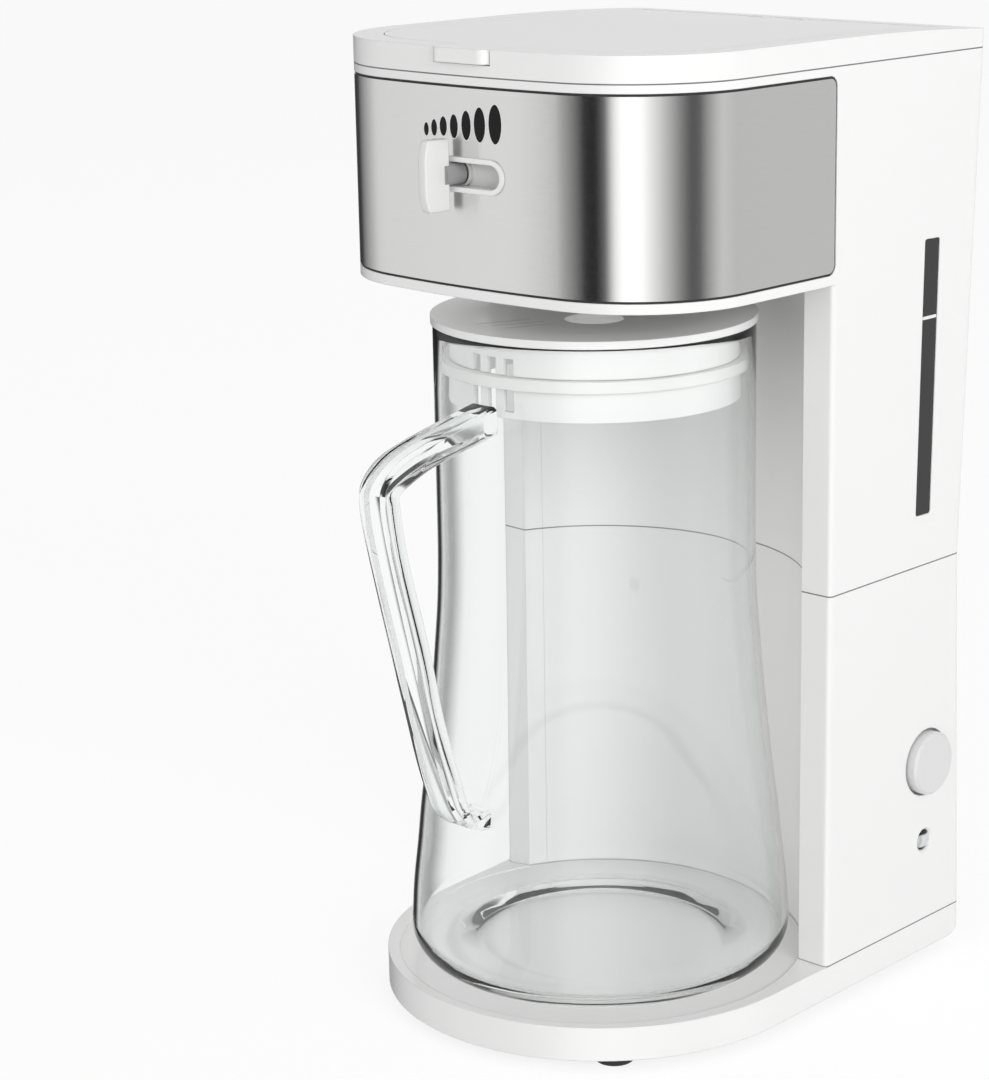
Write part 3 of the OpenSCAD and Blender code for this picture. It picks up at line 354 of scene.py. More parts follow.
bpy.ops.object.select_all(action="DESELECT")
bpy.ops.mesh.primitive_plane_add(size=FLOOR_SIZE, location=(0, 0, 0))
floor = bpy.context.object
floor.name = "floor"
sheet = bpy.data.materials.new("floor")
sheet.use_nodes = True
tree = sheet.node_tree
tree.nodes.clear()
matt = add_node(tree, "ShaderNodeBsdfDiffuse", {}, {"Color": FLOOR_SHADE})
lit = add_node(tree, "ShaderNodeEmission", {}, {"Color": (1, 1, 1, 1), "Strength": FLOOR_GLOW})
both = add_node(tree, "ShaderNodeAddShader", {}, {0: matt, 1: lit})
bare = add_node(tree, "ShaderNodeBsdfDiffuse", {}, {"Color": FLOOR_WHITE})
surface = add_node(tree, "ShaderNodeMixShader", {}, {
    0: ray_kinds(tree)["Is Camera Ray"], 1: bare, 2: both})
out = tree.nodes.new("ShaderNodeOutputMaterial")
tree.links.new(surface.socket, out.inputs["Surface"])
floor.data.materials.append(sheet)
floor.visible_glossy = False
floor.visible_transmission = False
print("floor", FLOOR_SIZE, "m wide")

# %% [markdown]
# ## Plastics, metals and rubber
# The shells are moulded in white gloss plastic. Moulded gloss is never a perfect mirror: its
# skin has a slight ripple, and handling leaves it a little duller in patches. The bevel node
# rounds the shading of each sharp edge by half a millimetre, so that edges catch a thin line of
# light as moulded ones do. Metals, rubber and mesh wander between two tones instead. All of
# these sizes are noise scales, so a larger number gives a finer grain.

# %% Make the two kinds of skin
PATCHES, RIPPLES, RIPPLE_DEEP = 18, 1200, 0.1 * MM
PATCH_SPREAD, EDGE_SAMPLES = 0.12, 6


def mould_skin(finish, roughness, ripple, radius, spread):
    """Gives a finish a faint ripple, duller patches and softened edges."""
    finish.put(Roughness=finish.noise(PATCHES, 3) * spread + (roughness - spread / 2))
    soft = finish.node("ShaderNodeBevel", {"samples": EDGE_SAMPLES}, {"Radius": radius * MM},
                       output="Normal")
    finish.bump(finish.noise(RIPPLES, 2), ripple, RIPPLE_DEEP, Normal=soft)
    return finish.material


def moulded(name, colour, roughness, ripple, radius=0.5, **constants):
    """Moulded plastic of one colour."""
    finish = Finish(name, colour, roughness, **constants)
    return mould_skin(finish, roughness, ripple, radius, PATCH_SPREAD)


def tinted(name, colour, other, roughness, scale, ripple, **constants):
    """A surface whose colour wanders between two tones over a noise of the same size."""
    finish = Finish(name, colour, roughness, **constants)
    grain = finish.noise(scale, 4)
    finish.tint(grain, colour, other)
    finish.bump(grain, ripple, RIPPLE_DEEP)
    return finish.material


print("patches", PATCHES, "and ripples", RIPPLES)

# %% [markdown]
# Where one white shell meets the next, the joint shows as a hairline of shadow on the side
# walls. The frame's shells touch with no gap, so the hairline is drawn in the colour, at the
# height of each joint and on upright walls only. Two joints run all round. The third, low down,
# shows only behind the place where it starts.

# %% Draw the shell joints
WHITE, WHITE_ROUGH, WHITE_RIPPLE, WHITE_SPREAD = (0.87, 0.87, 0.865), 0.3, 0.06, 0.05
SEAM_SHADE, SEAM_HALF, MOST_LEAN = (0.2, 0.2, 0.2), 0.26, 0.2
FAR_IN_FRONT = -999
SEAM_STARTS = {163: FAR_IN_FRONT, 355.5: FAR_IN_FRONT, 17: 34}


def shell_white():
    """Gloss white, with the hairline shadow where one shell meets the next on a side wall."""
    finish = Finish("white_gloss_plastic", WHITE, WHITE_ROUGH, Coat_Weight=0.25,
                    Coat_Roughness=0.08)
    east, north, high = finish.axes()
    lines = []
    for seam_mm, start_mm in SEAM_STARTS.items():
        height = high - seam_mm * MM
        close = height.math("ABSOLUTE", height) < SEAM_HALF * MM
        lines.append(close * (north > at(0, start_mm, 0).y))
    line = lines[0]
    for other in lines[1:]:
        line = line.math("MAXIMUM", line, other)
    lean = finish.axes("Normal")[2]
    finish.tint(line * (lean * lean < MOST_LEAN), WHITE, SEAM_SHADE)
    return mould_skin(finish, WHITE_ROUGH, WHITE_RIPPLE, 0.5, WHITE_SPREAD)


print("shell joints at", list(SEAM_STARTS), "mm")

# %% [markdown]
# The lens of the indicator lamp is a small polished dome. Its reflection is painted into its
# colour:
# two black ends for the dark above and below it, and a painted bright middle between them, so it
# is coloured by height.

# %% Paint the lens's reflection
LENS, PAINTED_REFLECTION_DARK = (0.75, 0.76, 0.77), (0.02, 0.02, 0.02)
REFLECTION_DARK_FROM, REFLECTION_DARK_TO = 0.34, 0.48


def domed_lens():
    """A dome with a painted reflection: a bright middle, and black towards its top and bottom."""
    low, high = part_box("indicator_lens")
    middle, reach = (low.z + high.z) / 2, (high.z - low.z) / 2
    finish = Finish("clear_lens", LENS, 0.08, Metallic=0.4)
    height = finish.axes()[2] - middle
    # Painted reflection: the lens turns black towards its top and bottom and stays bright in the
    # middle.
    painted_reflection = height.math("ABSOLUTE", height).step(reach * REFLECTION_DARK_FROM, reach * REFLECTION_DARK_TO)
    finish.tint(painted_reflection, LENS, PAINTED_REFLECTION_DARK)
    print("lens", round(reach * 2 / MM, 1), "mm tall")
    return finish.material


# %% [markdown]
# Each material slot of the frame now gets one finish. Moulded ones are given their colour,
# roughness and ripple, and tinted ones their two tones, roughness, grain and ripple. Hidden
# pieces get the finish that their material has on a workbench, because the machine opens.

# %% Mix the finishes
finishes = {
    "white_plastic": shell_white(),
    "under_plastic": moulded("grey_base_plastic", (0.5, 0.5, 0.5), 0.5, 0.2),
    "foot_rubber": tinted("foot_rubber", (0.02, 0.02, 0.02), (0.05, 0.05, 0.05), 0.8, 900, 0.3),
    "screw_steel": tinted("zinc_plated_steel", (0.55, 0.55, 0.56), (0.68, 0.67, 0.64), 0.3, 700,
                          0.15, Metallic=1.0),
    "window_smoke": moulded("smoked_window", (0.016, 0.016, 0.017), 0.14, 0.02),
    "inner_plastic": moulded("inner_white_plastic", (0.74, 0.74, 0.72), 0.5, 0.15),
    "tank_plastic": moulded("tank_plastic", (0.8, 0.84, 0.86), 0.25, 0.1, Alpha=0.55),
    "basket_plastic": moulded("basket_plastic", (0.035, 0.035, 0.037), 0.45, 0.3),
    "filter_mesh": tinted("filter_mesh", (0.55, 0.4, 0.16), (0.72, 0.56, 0.27), 0.35, 1500, 0.3,
                          Metallic=0.7),
    "hose_silicone": tinted("milky_silicone", (0.6, 0.6, 0.58), (0.7, 0.7, 0.69), 0.45, 200, 0.1),
    "heater_metal": tinted("cast_aluminium", (0.45, 0.45, 0.45), (0.6, 0.6, 0.6), 0.45, 600, 0.4,
                           Metallic=1.0),
    "strap_steel": tinted("strap_steel", (0.5, 0.5, 0.52), (0.62, 0.62, 0.63), 0.35, 500, 0.1,
                          Metallic=1.0),
    "fuse_ceramic": tinted("fuse_sleeve", (0.6, 0.42, 0.28), (0.7, 0.52, 0.36), 0.7, 800, 0.4),
    "button_grey": moulded("silver_grey_button", (0.72, 0.72, 0.725), 0.35, 0.12, radius=0.6),
    "lens_clear": domed_lens(),
    "knob_silver": moulded("pearl_selector_plastic", (0.78, 0.78, 0.775), 0.32, 0.1,
                           Coat_Weight=0.4),
    "pin_steel": tinted("polished_pin", (0.7, 0.7, 0.7), (0.78, 0.78, 0.78), 0.12, 400, 0.02,
                        Metallic=1.0),
    "seal_silicone": moulded("seal_silicone", (0.86, 0.86, 0.85), 0.4, 0.1),
    "switch_black": moulded("switch_black_plastic", (0.03, 0.03, 0.03), 0.4, 0.2),
}
print("finishes mixed:", len(finishes))

# %% [markdown]
# The frame's pieces arrive as loose flat triangles. Their meshes stay as they are, and three
# live modifiers make them read as moulded: Weld joins the triangles, Edge Split keeps edges
# sharper than 32 degrees crisp, and Weighted Normal lets each large flat face stay flat beside
# the curve next to it.

# %% Smooth and paint the frame's pieces
WELD_REACH, CRISP = 0.002 * MM, math.radians(32)


def smooth_piece(piece):
    """Smooth shading with crisp edges, in modifiers alone."""
    for face in piece.data.polygons:
        face.use_smooth = True
    weld = piece.modifiers.new("weld", "WELD")
    weld.merge_threshold = WELD_REACH
    crease = piece.modifiers.new("crease", "EDGE_SPLIT")
    crease.split_angle = CRISP
    piece.modifiers.new("even", "WEIGHTED_NORMAL").keep_sharp = True


slot_of = {part["node"]: part["material_slot"] for part in frame["record"]["subparts"]}
for name, piece in nodes.items():
    smooth_piece(piece)
    finish = finishes.get(slot_of[name])
    if finish:
        piece.data.materials.clear()
        piece.data.materials.append(finish)
print("left for later:", [name for name in nodes if slot_of[name] not in finishes])

# %% [markdown]
# ## Tracing by hand
# Every new piece starts as one line. It is drawn as by hand: a plane is merged to a single
# vertex, and that vertex is extruded from point to point. A closed line may be filled with a
# face. The line or the face is then pushed out to a sheet or a solid.


# %% Draw a line by extruding a vertex
def trace(points, closed=False):
    """Starts a mesh in edit mode, with one line through the points, all of it selected."""
    bpy.ops.object.select_all(action="DESELECT")
    bpy.ops.mesh.primitive_plane_add(size=MM, location=points[0])
    bpy.ops.object.mode_set(mode="EDIT")
    bpy.ops.mesh.select_mode(type="VERT")
    bpy.ops.mesh.select_all(action="SELECT")
    bpy.ops.mesh.merge(type="CENTER")
    for here, there in zip(points, points[1:]):
        bpy.ops.mesh.extrude_vertices_move(TRANSFORM_OT_translate={"value": there - here})
    bpy.ops.mesh.select_all(action="SELECT")
    if closed:
        bpy.ops.mesh.edge_face_add()


# %% [markdown]
# ## The steel band
# A strip of brushed stainless steel wraps the brew head. Its front is nearly flat, so the
# reflections there are broad, and the two tight corners squeeze the whole room into a few
# upright bands of light and dark. The frame's corner has a few facets that would show as steps,
# so the head's outline is drawn again in fine steps: a straight side, a tight corner, a wide
# arc across the front, and the same mirrored.

# %% Draw the head's outline
HALF_WIDTH, SIDE_END = 84, 34
CORNER, CORNER_X, CORNER_Y, CORNER_STEPS = 48, 36, -16.74, 36
NOSE, NOSE_Y, NOSE_STEPS = 380, 313.3, 12


def head_outline(inset, end_y=SIDE_END):
    """The brew head's outline from above, from its right side round the front to its left."""
    lean = math.asin(CORNER_X / (NOSE - CORNER))
    half = [(HALF_WIDTH - inset, end_y), (HALF_WIDTH - inset, (end_y + CORNER_Y) / 2)]
    for k in range(CORNER_STEPS + 1):
        turn = -k / CORNER_STEPS * (math.pi / 2 - lean)
        half.append((CORNER_X + (CORNER - inset) * math.cos(turn),
                     CORNER_Y + (CORNER - inset) * math.sin(turn)))
    for k in range(1, NOSE_STEPS + 1):
        turn = lean * (1 - k / NOSE_STEPS)
        half.append(((NOSE - inset) * math.sin(turn), NOSE_Y - (NOSE - inset) * math.cos(turn)))
    return half + [(-x, y) for x, y in reversed(half[:-1])]


print("outline points", len(head_outline(0)))

# %% [markdown]
# The traced outline is extruded upwards row by row. The rows lie close together near the two
# long edges, where they are needed next.

# %% Trace and raise the band
BAND_LOW, BAND_HIGH, BAND_ROUND, ROUND_STEPS = 283, 351.5, 3, 5
rises = [BAND_ROUND * (1 - math.cos(k * math.pi / 2 / ROUND_STEPS))
         for k in range(1, ROUND_STEPS + 1)]
rows = [BAND_LOW + rise for rise in rises] + [BAND_HIGH - rise for rise in reversed(rises)]

trace([at(x, y, BAND_LOW) for x, y in head_outline(0)])
below = BAND_LOW
for row in [round(z, 4) for z in rows] + [BAND_HIGH]:
    bpy.ops.mesh.extrude_region_move(TRANSFORM_OT_translate={"value": (0, 0, (row - below) * MM)})
    below = row
bpy.ops.object.mode_set(mode="OBJECT")
band = bpy.context.object
bpy.ops.object.transform_apply(location=True)
print("band rows", len(rows) + 2)

# %% [markdown]
# The strip's two ends have rounded corners. The vertices at each end move forward along the
# side, and the nearer they lie to a long edge, the further they go.

# %% Round the band's ends
end_y = at(0, SIDE_END, 0).y
at_end = [point for point in band.data.vertices if abs(point.co.y - end_y) < 0.01 * MM]
for point in at_end:
    edge = min(point.co.z / MM - BAND_LOW, BAND_HIGH - point.co.z / MM, BAND_ROUND)
    lean = min((BAND_ROUND - edge) / BAND_ROUND, 1)
    point.co.y -= BAND_ROUND * (1 - math.sqrt(1 - lean * lean)) * MM
print("end vertices", len(at_end))

# %% [markdown]
# The sheet now gets its thickness. Its faces are first turned the same way. Solidify then grows
# a wall to one side of them, and that side is chosen by where the frontmost face looks, so the
# outside keeps its place.

# %% Thicken the band
BAND_WALL = 1.2


def face_outwards():
    """Turns all faces the same way, outwards on a closed shape, and leaves edit mode."""
    bpy.ops.mesh.select_all(action="SELECT")
    bpy.ops.mesh.normals_make_consistent(inside=False)
    bpy.ops.object.mode_set(mode="OBJECT")
    return bpy.context.object


def apply_to(piece, kind, **settings):
    """Makes a piece the active one, adds a modifier to it and applies it at once."""
    bpy.ops.object.select_all(action="DESELECT")
    bpy.context.view_layer.objects.active = piece
    piece.select_set(True)
    step = piece.modifiers.new(kind.lower(), kind)
    for name, value in settings.items():
        setattr(step, name, value)
    bpy.ops.object.modifier_apply(modifier=step.name)


def add_wall(piece, wall):
    """Gives a traced sheet its wall, inwards from the outline."""
    front = min(piece.data.polygons, key=lambda face: face.center.y)
    apply_to(piece, "SOLIDIFY", thickness=wall * MM, offset=-1 if front.normal.y < 0 else 1)


bpy.ops.object.mode_set(mode="EDIT")
add_wall(face_outwards(), BAND_WALL)
print("band wall", BAND_WALL, "mm")

# %% [markdown]
# The band lies in a recess, and the shade in the gap round it is painted: a thin black strip
# fills the gap and draws a crisp line of painted shadow between steel and plastic. It is the same
# outline traced again a little further in, and the band's own solid is cut out of it, so only the
# ring round the band is left. Each finished piece is handed to the frame: its place goes into its
# mesh, and it rides on one of the bodies.

# %% Fill the gap round the band
GAP, GAP_SHADE_FRONT, GAP_SHADE_BACK = 0.85, 0.45, 1.15


def push_out(offset):
    """Extrudes what was traced by an offset, and leaves edit mode."""
    bpy.ops.mesh.extrude_region_move(TRANSFORM_OT_translate={"value": offset})
    return face_outwards()


def hand_over(name, body, slot, material, *replaced, smooth=30):
    """Puts the active piece's place in its mesh and gives it to the frame."""
    piece = bpy.context.object
    piece.name = name
    bpy.ops.object.transform_apply(location=True, rotation=True, scale=True)
    bpy.ops.object.shade_smooth_by_angle(angle=math.radians(smooth))
    piece.data.materials.clear()
    piece.data.materials.append(material)
    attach(piece, body)
    if replaced:
        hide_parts(*replaced)
    print(name, len(piece.data.polygons), "faces")
    return piece


# Painted shade: a thin black strip round the band that stands in for the shadow in the recess
# gap.
trace([at(x, y, BAND_LOW - GAP) for x, y in head_outline(GAP_SHADE_FRONT, SIDE_END + GAP)])
gap_shade = push_out((0, 0, (BAND_HIGH - BAND_LOW + 2 * GAP) * MM))
add_wall(gap_shade, GAP_SHADE_BACK - GAP_SHADE_FRONT)
apply_to(gap_shade, "BOOLEAN", object=band, operation="DIFFERENCE", solver="EXACT")
hand_over("band_gap_shade_strip", "body", "foot_rubber", finishes["foot_rubber"])

# %% [markdown]
# The selector slides in a slot with round ends. A bar of that shape is set across the front and
# taken out of the band.

# %% Cut the slot
SLOT_Z, SLOT_LONG, SLOT_TALL, SLOT_STEPS = 321.7, 36.2, 10.4, 16
CUT_FROM, CUT_TO = -75, -55


def round_bar(length, height, steps):
    """The outline of a bar with round ends, each end turned in so many steps."""
    radius = height / 2
    return [(end * (length / 2 - radius) + radius * math.cos(turn), radius * math.sin(turn))
            for end, start in ((1, -math.pi / 2), (-1, math.pi / 2))
            for turn in (start + k * math.pi / steps for k in range(steps + 1))]


slot = round_bar(SLOT_LONG, SLOT_TALL, SLOT_STEPS)
trace([at(x, CUT_FROM, SLOT_Z + z) for x, z in slot], closed=True)
cutter = push_out((0, (CUT_TO - CUT_FROM) * MM, 0))
apply_to(band, "BOOLEAN", object=cutter, operation="DIFFERENCE", solver="EXACT")
bpy.data.objects.remove(cutter)
print("band faces", len(band.data.polygons))

# %% [markdown]
# Brushed steel is a metal scratched along one direction. The scratches run round the band, so
# light spreads up and down and stays sharp sideways. Principled's anisotropy does the spreading,
# and a noise squeezed from top to bottom adds the visible grain, coarse and fine.

# %% Brush the steel
STEEL, STEEL_DARK, STEEL_LIGHT = (0.66, 0.66, 0.655), (0.62, 0.62, 0.615), (0.7, 0.7, 0.695)
SMOOTHEST, ROUGHNESS_SPREAD = 0.17, 0.12
steel = Finish("brushed_steel_band", STEEL, 0.24, Metallic=1.0, Anisotropic=1.0,
               Anisotropic_Rotation=0.25)
coarse = steel.noise(260, 3, (1, 1, 26))
fine = steel.noise(900, 2, (1, 1, 18))
steel.put(Roughness=SMOOTHEST + coarse * ROUGHNESS_SPREAD)
steel.bump(coarse * 0.5 + fine * 0.5, 0.05, 0.05 * MM)
steel.tint(coarse, STEEL_DARK, STEEL_LIGHT)
hand_over("steel_band_strip", "body", "band_steel", steel.material, "steel_band")

# %% [markdown]
# ## Strength marks
# Above the slot seven drops grow from left to right, so the hand can find mild and strong
# without a word. They are printed: black, with a hair of white round each. Each drop is traced
# as an oval that comes to a slight point, sunk a little into the band, and raised above it by
# less than a tenth of a millimetre.

# %% Print the strength marks
MARK_X = (-17.9, -13.9, -9.3, -4.1, 1.8, 8.1, 15.2)
MARK_Z = (336.2, 337.0, 337.8, 338.1, 338.8, 339.4, 340.0)
MARK_TALL = (4.6, 5.7, 6.7, 8.3, 10.1, 12.0, 13.5)
MARK_WIDE = (2.4, 2.9, 3.5, 3.8, 4.4, 5.2, 5.8)
MARK_STEPS, MARK_POINT, MARK_SUNK = 36, 1.08, 0.3


def print_marks(name, material, border, lift):
    """All seven drops in one mesh, each with a border, and raised off the band."""
    drops = []
    for x, z, tall, wide in zip(MARK_X, MARK_Z, MARK_TALL, MARK_WIDE):
        ring = []
        for k in range(MARK_STEPS):
            turn = math.tau * k / MARK_STEPS
            sweep = math.cos(turn)
            across = x + (wide / 2 + border) * math.copysign(abs(sweep) ** MARK_POINT, sweep)
            face_y = NOSE_Y - math.sqrt(NOSE * NOSE - across * across)
            ring.append(at(across, face_y + MARK_SUNK, z + (tall / 2 + border) * math.sin(turn)))
        trace(ring, closed=True)
        drops.append(push_out((0, -(MARK_SUNK + lift) * MM, 0)))
    bpy.ops.object.select_all(action="DESELECT")
    for drop in drops:
        drop.select_set(True)
    bpy.ops.object.join()
    hand_over(name, "body", "band_steel", material)


mark_ink = tinted("mark_ink", (0.006, 0.006, 0.006), (0.012, 0.012, 0.012), 0.6, 900, 0.05,
                  Specular_IOR_Level=0.2)
mark_edge = tinted("mark_border", (0.8, 0.8, 0.8), (0.86, 0.86, 0.86), 0.4, 900, 0.05)
print_marks("strength_mark_borders", mark_edge, border=0.28, lift=0.04)
print_marks("strength_marks", mark_ink, border=0.0, lift=0.07)

# %% [markdown]
# ## The selector's grip
# The grip is a small upright fin that the thumb pushes sideways. Its outer edge is bowed, and
# all its edges are soft. The fin's side view is traced, filled, extruded to its thickness and
# bevelled. The lever stands a few degrees off the middle, so every point is turned with it.

# %% Trace the grip
REST_TURN = math.radians(-4.8)
GRIP_IN, GRIP_OUT, GRIP_HIGH, GRIP_THICK, GRIP_SOFT = 69.6, 80.6, 25, 4.4, 0.8
BOW, BOW_Y, BOW_STEPS = 35.2, 46.0, 12


def turned(x, y, z):
    """A point on the lever at rest, which stands a few degrees left of the middle."""
    return at(x * math.cos(REST_TURN) - y * math.sin(REST_TURN),
              x * math.sin(REST_TURN) + y * math.cos(REST_TURN), z)


half = GRIP_HIGH / 2
fin = [(-GRIP_IN, -half), (-GRIP_IN, half)]
for k in range(BOW_STEPS + 1):
    height = half - k * GRIP_HIGH / BOW_STEPS
    fin.append((-min(BOW_Y + math.sqrt(BOW * BOW - height * height), GRIP_OUT), height))
trace([turned(-GRIP_THICK / 2, y, SLOT_Z + z) for y, z in fin], closed=True)
grip = push_out(turned(GRIP_THICK, 0, 0) - turned(0, 0, 0))
bpy.ops.object.transform_apply(location=True)
apply_to(grip, "BEVEL", width=GRIP_SOFT * MM, segments=3, limit_method="ANGLE",
         angle_limit=math.radians(40))
hand_over("selector_grip", "selector", "knob_silver", finishes["knob_silver"], "selector_knob")

# %% [markdown]
# The grip sits on a darker stem that comes out of the slot: a traced circle, filled and pushed
# back along the lever.

# %% Trace the grip's stem
STEM, STEM_FROM, STEM_TO, STEM_STEPS = 3.9, 72.0, 63.2, 40
circle = [(STEM * math.cos(math.tau * k / STEM_STEPS), STEM * math.sin(math.tau * k / STEM_STEPS))
          for k in range(STEM_STEPS)]
trace([turned(x, -STEM_FROM, SLOT_Z + z) for x, z in circle], closed=True)
push_out(turned(0, STEM_FROM - STEM_TO, 0) - turned(0, 0, 0))
stem_grey = moulded("grey_stem_plastic", (0.3, 0.3, 0.3), 0.35, 0.1)
hand_over("selector_stem", "selector", "knob_silver", stem_grey, "selector_knob")

# %% [markdown]
# ## The button's spring
# The spring behind the brew button is wound from wire, with a flat turn at each end. Its line is
# traced turn by turn, made a curve, and given the wire's thickness.

# %% Wind the spring
TURNS, FLAT_TURN, TURN_STEPS, WIRE, PRESS = 6, 0.8, 20, 0.55, 2.5
low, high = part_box("button_spring")
middle = (low + high) / 2
reach = (high.z - low.z) / 2 - WIRE * MM
coil = []
for k in range(TURNS * TURN_STEPS + 1):
    turn = k / TURN_STEPS
    rise = min(max((turn - FLAT_TURN) / (TURNS - 2 * FLAT_TURN), 0), 1)
    along = low.x + WIRE * MM + rise * (high.x - low.x - 2 * WIRE * MM)
    coil.append(Vector((along, middle.y + reach * math.cos(math.tau * turn),
                        middle.z + reach * math.sin(math.tau * turn))))
trace(coil)
bpy.ops.object.mode_set(mode="OBJECT")
bpy.ops.object.convert(target="CURVE")
bpy.context.object.data.bevel_depth = WIRE * MM
bpy.context.object.data.bevel_resolution = 3
bpy.context.object.data.use_fill_caps = True
bpy.ops.object.convert(target="MESH")
spring = hand_over("wound_button_spring", "body", "screw_steel", finishes["screw_steel"],
                   "button_spring", smooth=60)
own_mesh(spring)

# %% [markdown]
# ## The fill line
# The reservoir's window carries one white line that shows how far to fill it. It is printed on
# the smoked window, so it is a bar with round ends, a fraction of a millimetre thick and sunk a
# little into the window.

# %% Print the fill line
LINE_Y, LINE_Z, LINE_LONG, LINE_TALL, LINE_STEPS = 93.3, 258.4, 8.8, 1.2, 6
LINE_SUNK, LINE_THICK = 0.4, 0.18
trace([at(HALF_WIDTH - LINE_SUNK, LINE_Y + y, LINE_Z + z)
       for y, z in round_bar(LINE_LONG, LINE_TALL, LINE_STEPS)], closed=True)
push_out((LINE_THICK * MM, 0, 0))
hand_over("fill_line", "body", "white_plastic", mark_edge)

# %% [markdown]
# ## The clear pitcher
# The pitcher is a blown form with a moulded handle: a wide belly, a long straight neck and a
# pulled spout. Its outer form is a short list of places, each a share of the height and a share
# of the belly's swell, and a curve that passes through every one of them joins them smoothly.
# The section goes on over the rim and down the inside, so the wall has its real thickness and
# the base its heavier glass.

# %% Draw the pitcher's section
JUG_LOW, JUG_HIGH = 16.5, 261.6
NECK, BELLY = 59.5, 72.8
WALL, BASE, BASE_CURVE = 2.6, 4.3, 6
FORM = [(0.0, 0.19), (0.006, 0.56), (0.018, 0.83), (0.033, 0.97), (0.047, 1.0), (0.071, 0.985),
        (0.116, 0.925), (0.177, 0.79), (0.239, 0.67), (0.3, 0.526), (0.369, 0.383),
        (0.439, 0.256), (0.504, 0.15), (0.565, 0.06), (0.626, 0.015), (0.7, 0.0), (0.985, 0.0)]


def bend_through(points, steps):
    """Points on a smooth curve through the given ones, steps of them from each to the next."""
    line = []
    ends = [points[0], *points, points[-1]]
    for a, b, c, d in zip(ends, ends[1:], ends[2:], ends[3:]):
        for k in range(steps):
            t = k / steps
            line.append(tuple(0.5 * (2 * q + (r - p) * t + (2 * p - 5 * q + 4 * r - s) * t * t
                                     + (3 * q - p - 3 * r + s) * t ** 3)
                              for p, q, r, s in zip(a, b, c, d)))
    line.append(tuple(points[-1]))
    return line


skin = [(NECK + (BELLY - NECK) * out, JUG_LOW + (JUG_HIGH - JUG_LOW) * up)
        for up, out in bend_through(FORM, 3)]


def inside_radius(z):
    """The pitcher's inner radius at a height, its wall's thickness in from the skin."""
    for (r0, z0), (r1, z1) in zip(skin, skin[1:]):
        if z0 <= z <= z1:
            return r0 + (r1 - r0) * (z - z0) / max(z1 - z0, 1e-6) - WALL
    return skin[-1][0] - WALL


floor_z = JUG_LOW + BASE
inner = [(inside_radius(z), z) for r, z in reversed(skin) if z > floor_z + BASE_CURVE]
bend = [(inside_radius(floor_z + rise) - back, floor_z + rise)
        for rise, back in ((4.2, 0.3), (2.6, 1.1), (1.2, 2.6), (0.3, 5.2))]
lip = [(NECK - 0.15, JUG_HIGH - 0.9), (NECK - 0.7, JUG_HIGH - 0.2), (NECK - 1.3, JUG_HIGH),
       (NECK - 1.9, JUG_HIGH - 0.2), (NECK - WALL + 0.15, JUG_HIGH - 0.9)]
foot = [(0.2, JUG_LOW + 0.8), (44, JUG_LOW + 0.8), (48.5, JUG_LOW + 0.6), (50, JUG_LOW),
        (58, JUG_LOW)]
profile = foot + skin + lip + inner + bend + [(40, floor_z), (0.2, floor_z)]
print("section points", len(profile))

# %% [markdown]
# Spin turns the section once round the pitcher's axis. Its first and last copies lie on each
# other and are merged, the two small holes at the poles are filled, and all faces are turned
# outwards.

# %% Spin the pitcher
SPIN_STEPS, SPIN_MERGE = 120, 0.02 * MM


def spin_round():
    """Spins the traced line once about the pitcher's axis and merges where it meets itself."""
    bpy.ops.mesh.spin(steps=SPIN_STEPS, angle=math.tau, center=at(0, 0, 0), axis=(0, 0, 1))
    bpy.ops.mesh.select_all(action="SELECT")
    bpy.ops.mesh.remove_doubles(threshold=SPIN_MERGE)


trace([at(0, -r, z) for r, z in profile])
spin_round()
bpy.ops.mesh.select_all(action="DESELECT")
bpy.ops.mesh.select_non_manifold()
bpy.ops.mesh.fill_holes(sides=0)
jug = face_outwards()
bpy.ops.object.transform_apply(location=True)
print("pitcher vertices", len(jug.data.vertices))

# %% [markdown]
# The spout is pulled out of the rim while the glass is soft. Here the vertices near the rim and
# opposite the handle move outwards, most at the rim and less to both sides.

# %% Pull the spout
SPOUT_LOW, SPOUT_OUT, SPOUT_HALF = 234, 8.0, 0.2
for point in jug.data.vertices:
    x, y, z = (point.co - at(0, 0, 0)) / MM
    if z > SPOUT_LOW and y > 0:
        rise = (z - SPOUT_LOW) / (JUG_HIGH - SPOUT_LOW)
        turn = math.atan2(x, y) / SPOUT_HALF
        pull = SPOUT_OUT * rise * rise * math.exp(-turn * turn)
        away = math.hypot(x, y)
        point.co.x += x / away * pull * MM
        point.co.y += y / away * pull * MM
print("spout pulled", SPOUT_OUT, "mm")

# %% [markdown]
# Clear glass has no colour of its own here: what it shows is the room, bent. Its wall is one
# closed solid, so a ray is bent going in and going out, and the edges darken by themselves. A
# trace of upright waviness keeps it from looking too perfect. Cycles would let bent light
# through a wall only by rare chance, and leave what stands behind it too dark. So the clear
# pieces throw no shadow, and diffuse light passes them unbent.

# %% Cast the glass
glass = Finish("clear_glass", (0.97, 0.985, 0.98), 0.0, Transmission_Weight=1.0, IOR=1.5)
glass.bump(glass.noise(30, 1, (1, 1, 0.2)), 0.02, 0.2 * MM)


def cast(name, replaced, smooth):
    """Hands over a clear piece of the pitcher that throws no shadow."""
    piece = hand_over(name, "pitcher", "pitcher_clear", glass.material, replaced, smooth=smooth)
    piece.visible_shadow = False
    piece.visible_diffuse = False


cast("pitcher_clear_body", "pitcher_glass", 50)

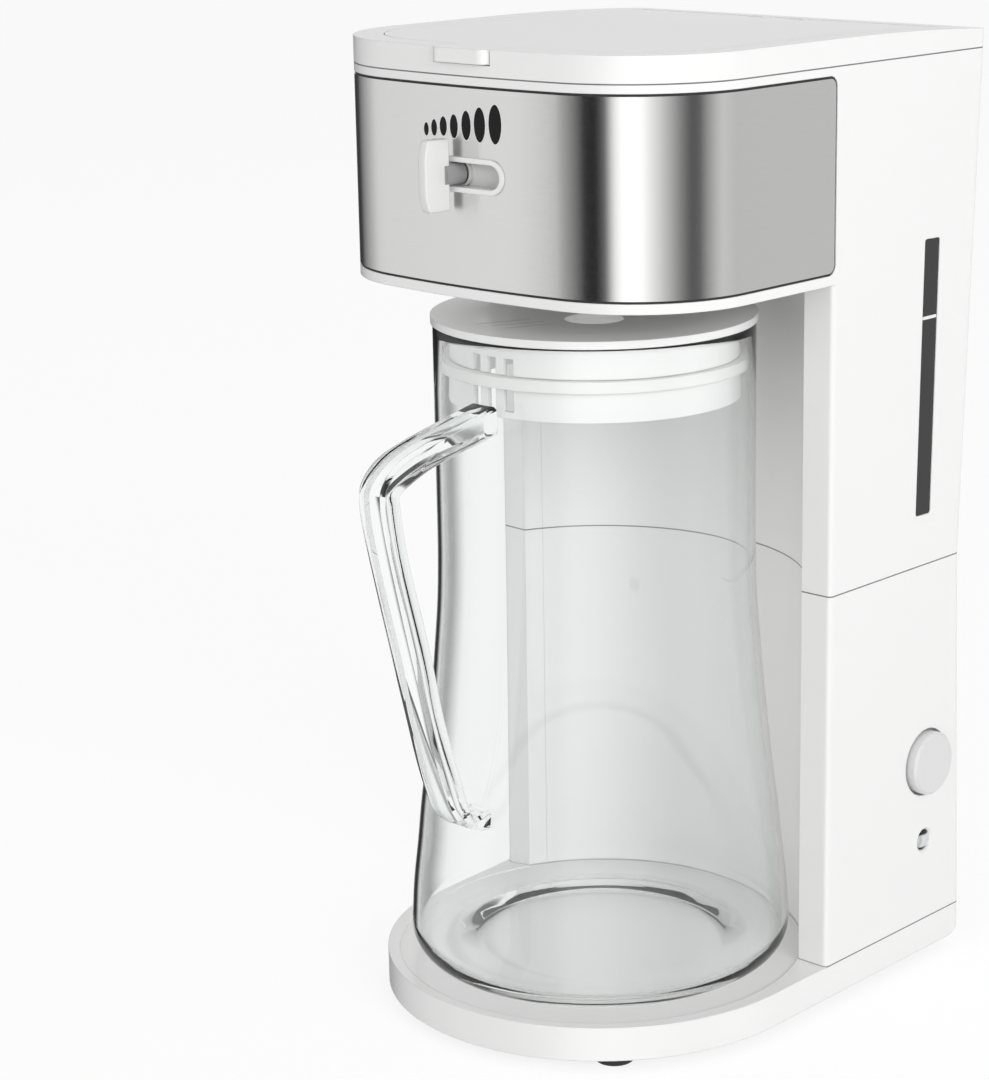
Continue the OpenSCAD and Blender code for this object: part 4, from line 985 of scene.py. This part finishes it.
# %% [markdown]
# ## The handle
# The handle is a thick clear bar with a chamfer along each of its four long edges, bent at the
# top and fused to the neck and the waist. Its side view is traced, filled and extruded to its
# width. Two bevels follow: a wide flat one for the chamfers, and a narrow round one that takes
# the sharpness off them.

# %% Trace and bevel the handle
OUTER = [(-63.6, 238.6), (-78.2, 235.6), (-93.3, 232.3), (-106.6, 228.2), (-114.1, 222.1),
         (-116.1, 216), (-114.9, 204.9), (-108.7, 178.4), (-103.7, 158.4), (-97.2, 133),
         (-90.5, 108.2), (-82.6, 90.8), (-70, 83.3), (-60, 83.3)]
INNER = [(-60, 89), (-67.4, 90.5), (-74.6, 90.5), (-80.4, 106.1), (-88.1, 131.2), (-94, 157.5),
         (-103.2, 192.8), (-106.4, 211.9), (-105.2, 217), (-91.7, 222.6), (-76.5, 225.7),
         (-61.1, 228.4), (-52, 230), (-52, 240.8)]
HANDLE_WIDE, CHAMFER, CHAMFER_SOFT = 13, 2.4, 0.5
ring = bend_through(OUTER, 4) + bend_through(INNER[:-1], 4) + [INNER[-1]]
trace([at(-HANDLE_WIDE / 2, y, z) for y, z in ring], closed=True)
handle = push_out((HANDLE_WIDE * MM, 0, 0))
bpy.ops.object.transform_apply(location=True)
apply_to(handle, "BEVEL", width=CHAMFER * MM, segments=1, limit_method="ANGLE",
         angle_limit=math.radians(60))
apply_to(handle, "BEVEL", width=CHAMFER_SOFT * MM, segments=2, limit_method="ANGLE",
         angle_limit=math.radians(35))
print("handle faces", len(handle.data.polygons))

# %% [markdown]
# The bar's ends still reach into the pitcher. A solid copy of the pitcher's form, a hair larger
# than the glass, is cut away from them, so the handle ends on the skin.

# %% Fit the handle to the pitcher
SKIN_GAP = 0.05
solid = [(-SKIN_GAP, JUG_LOW), *skin, (-SKIN_GAP, JUG_HIGH)]
trace([at(0, -r - SKIN_GAP, z) for r, z in solid])
spin_round()
plug = face_outwards()
apply_to(handle, "BOOLEAN", object=plug, operation="DIFFERENCE", solver="EXACT")
bpy.data.objects.remove(plug)
cast("pitcher_clear_handle", "pitcher_handle", 28)
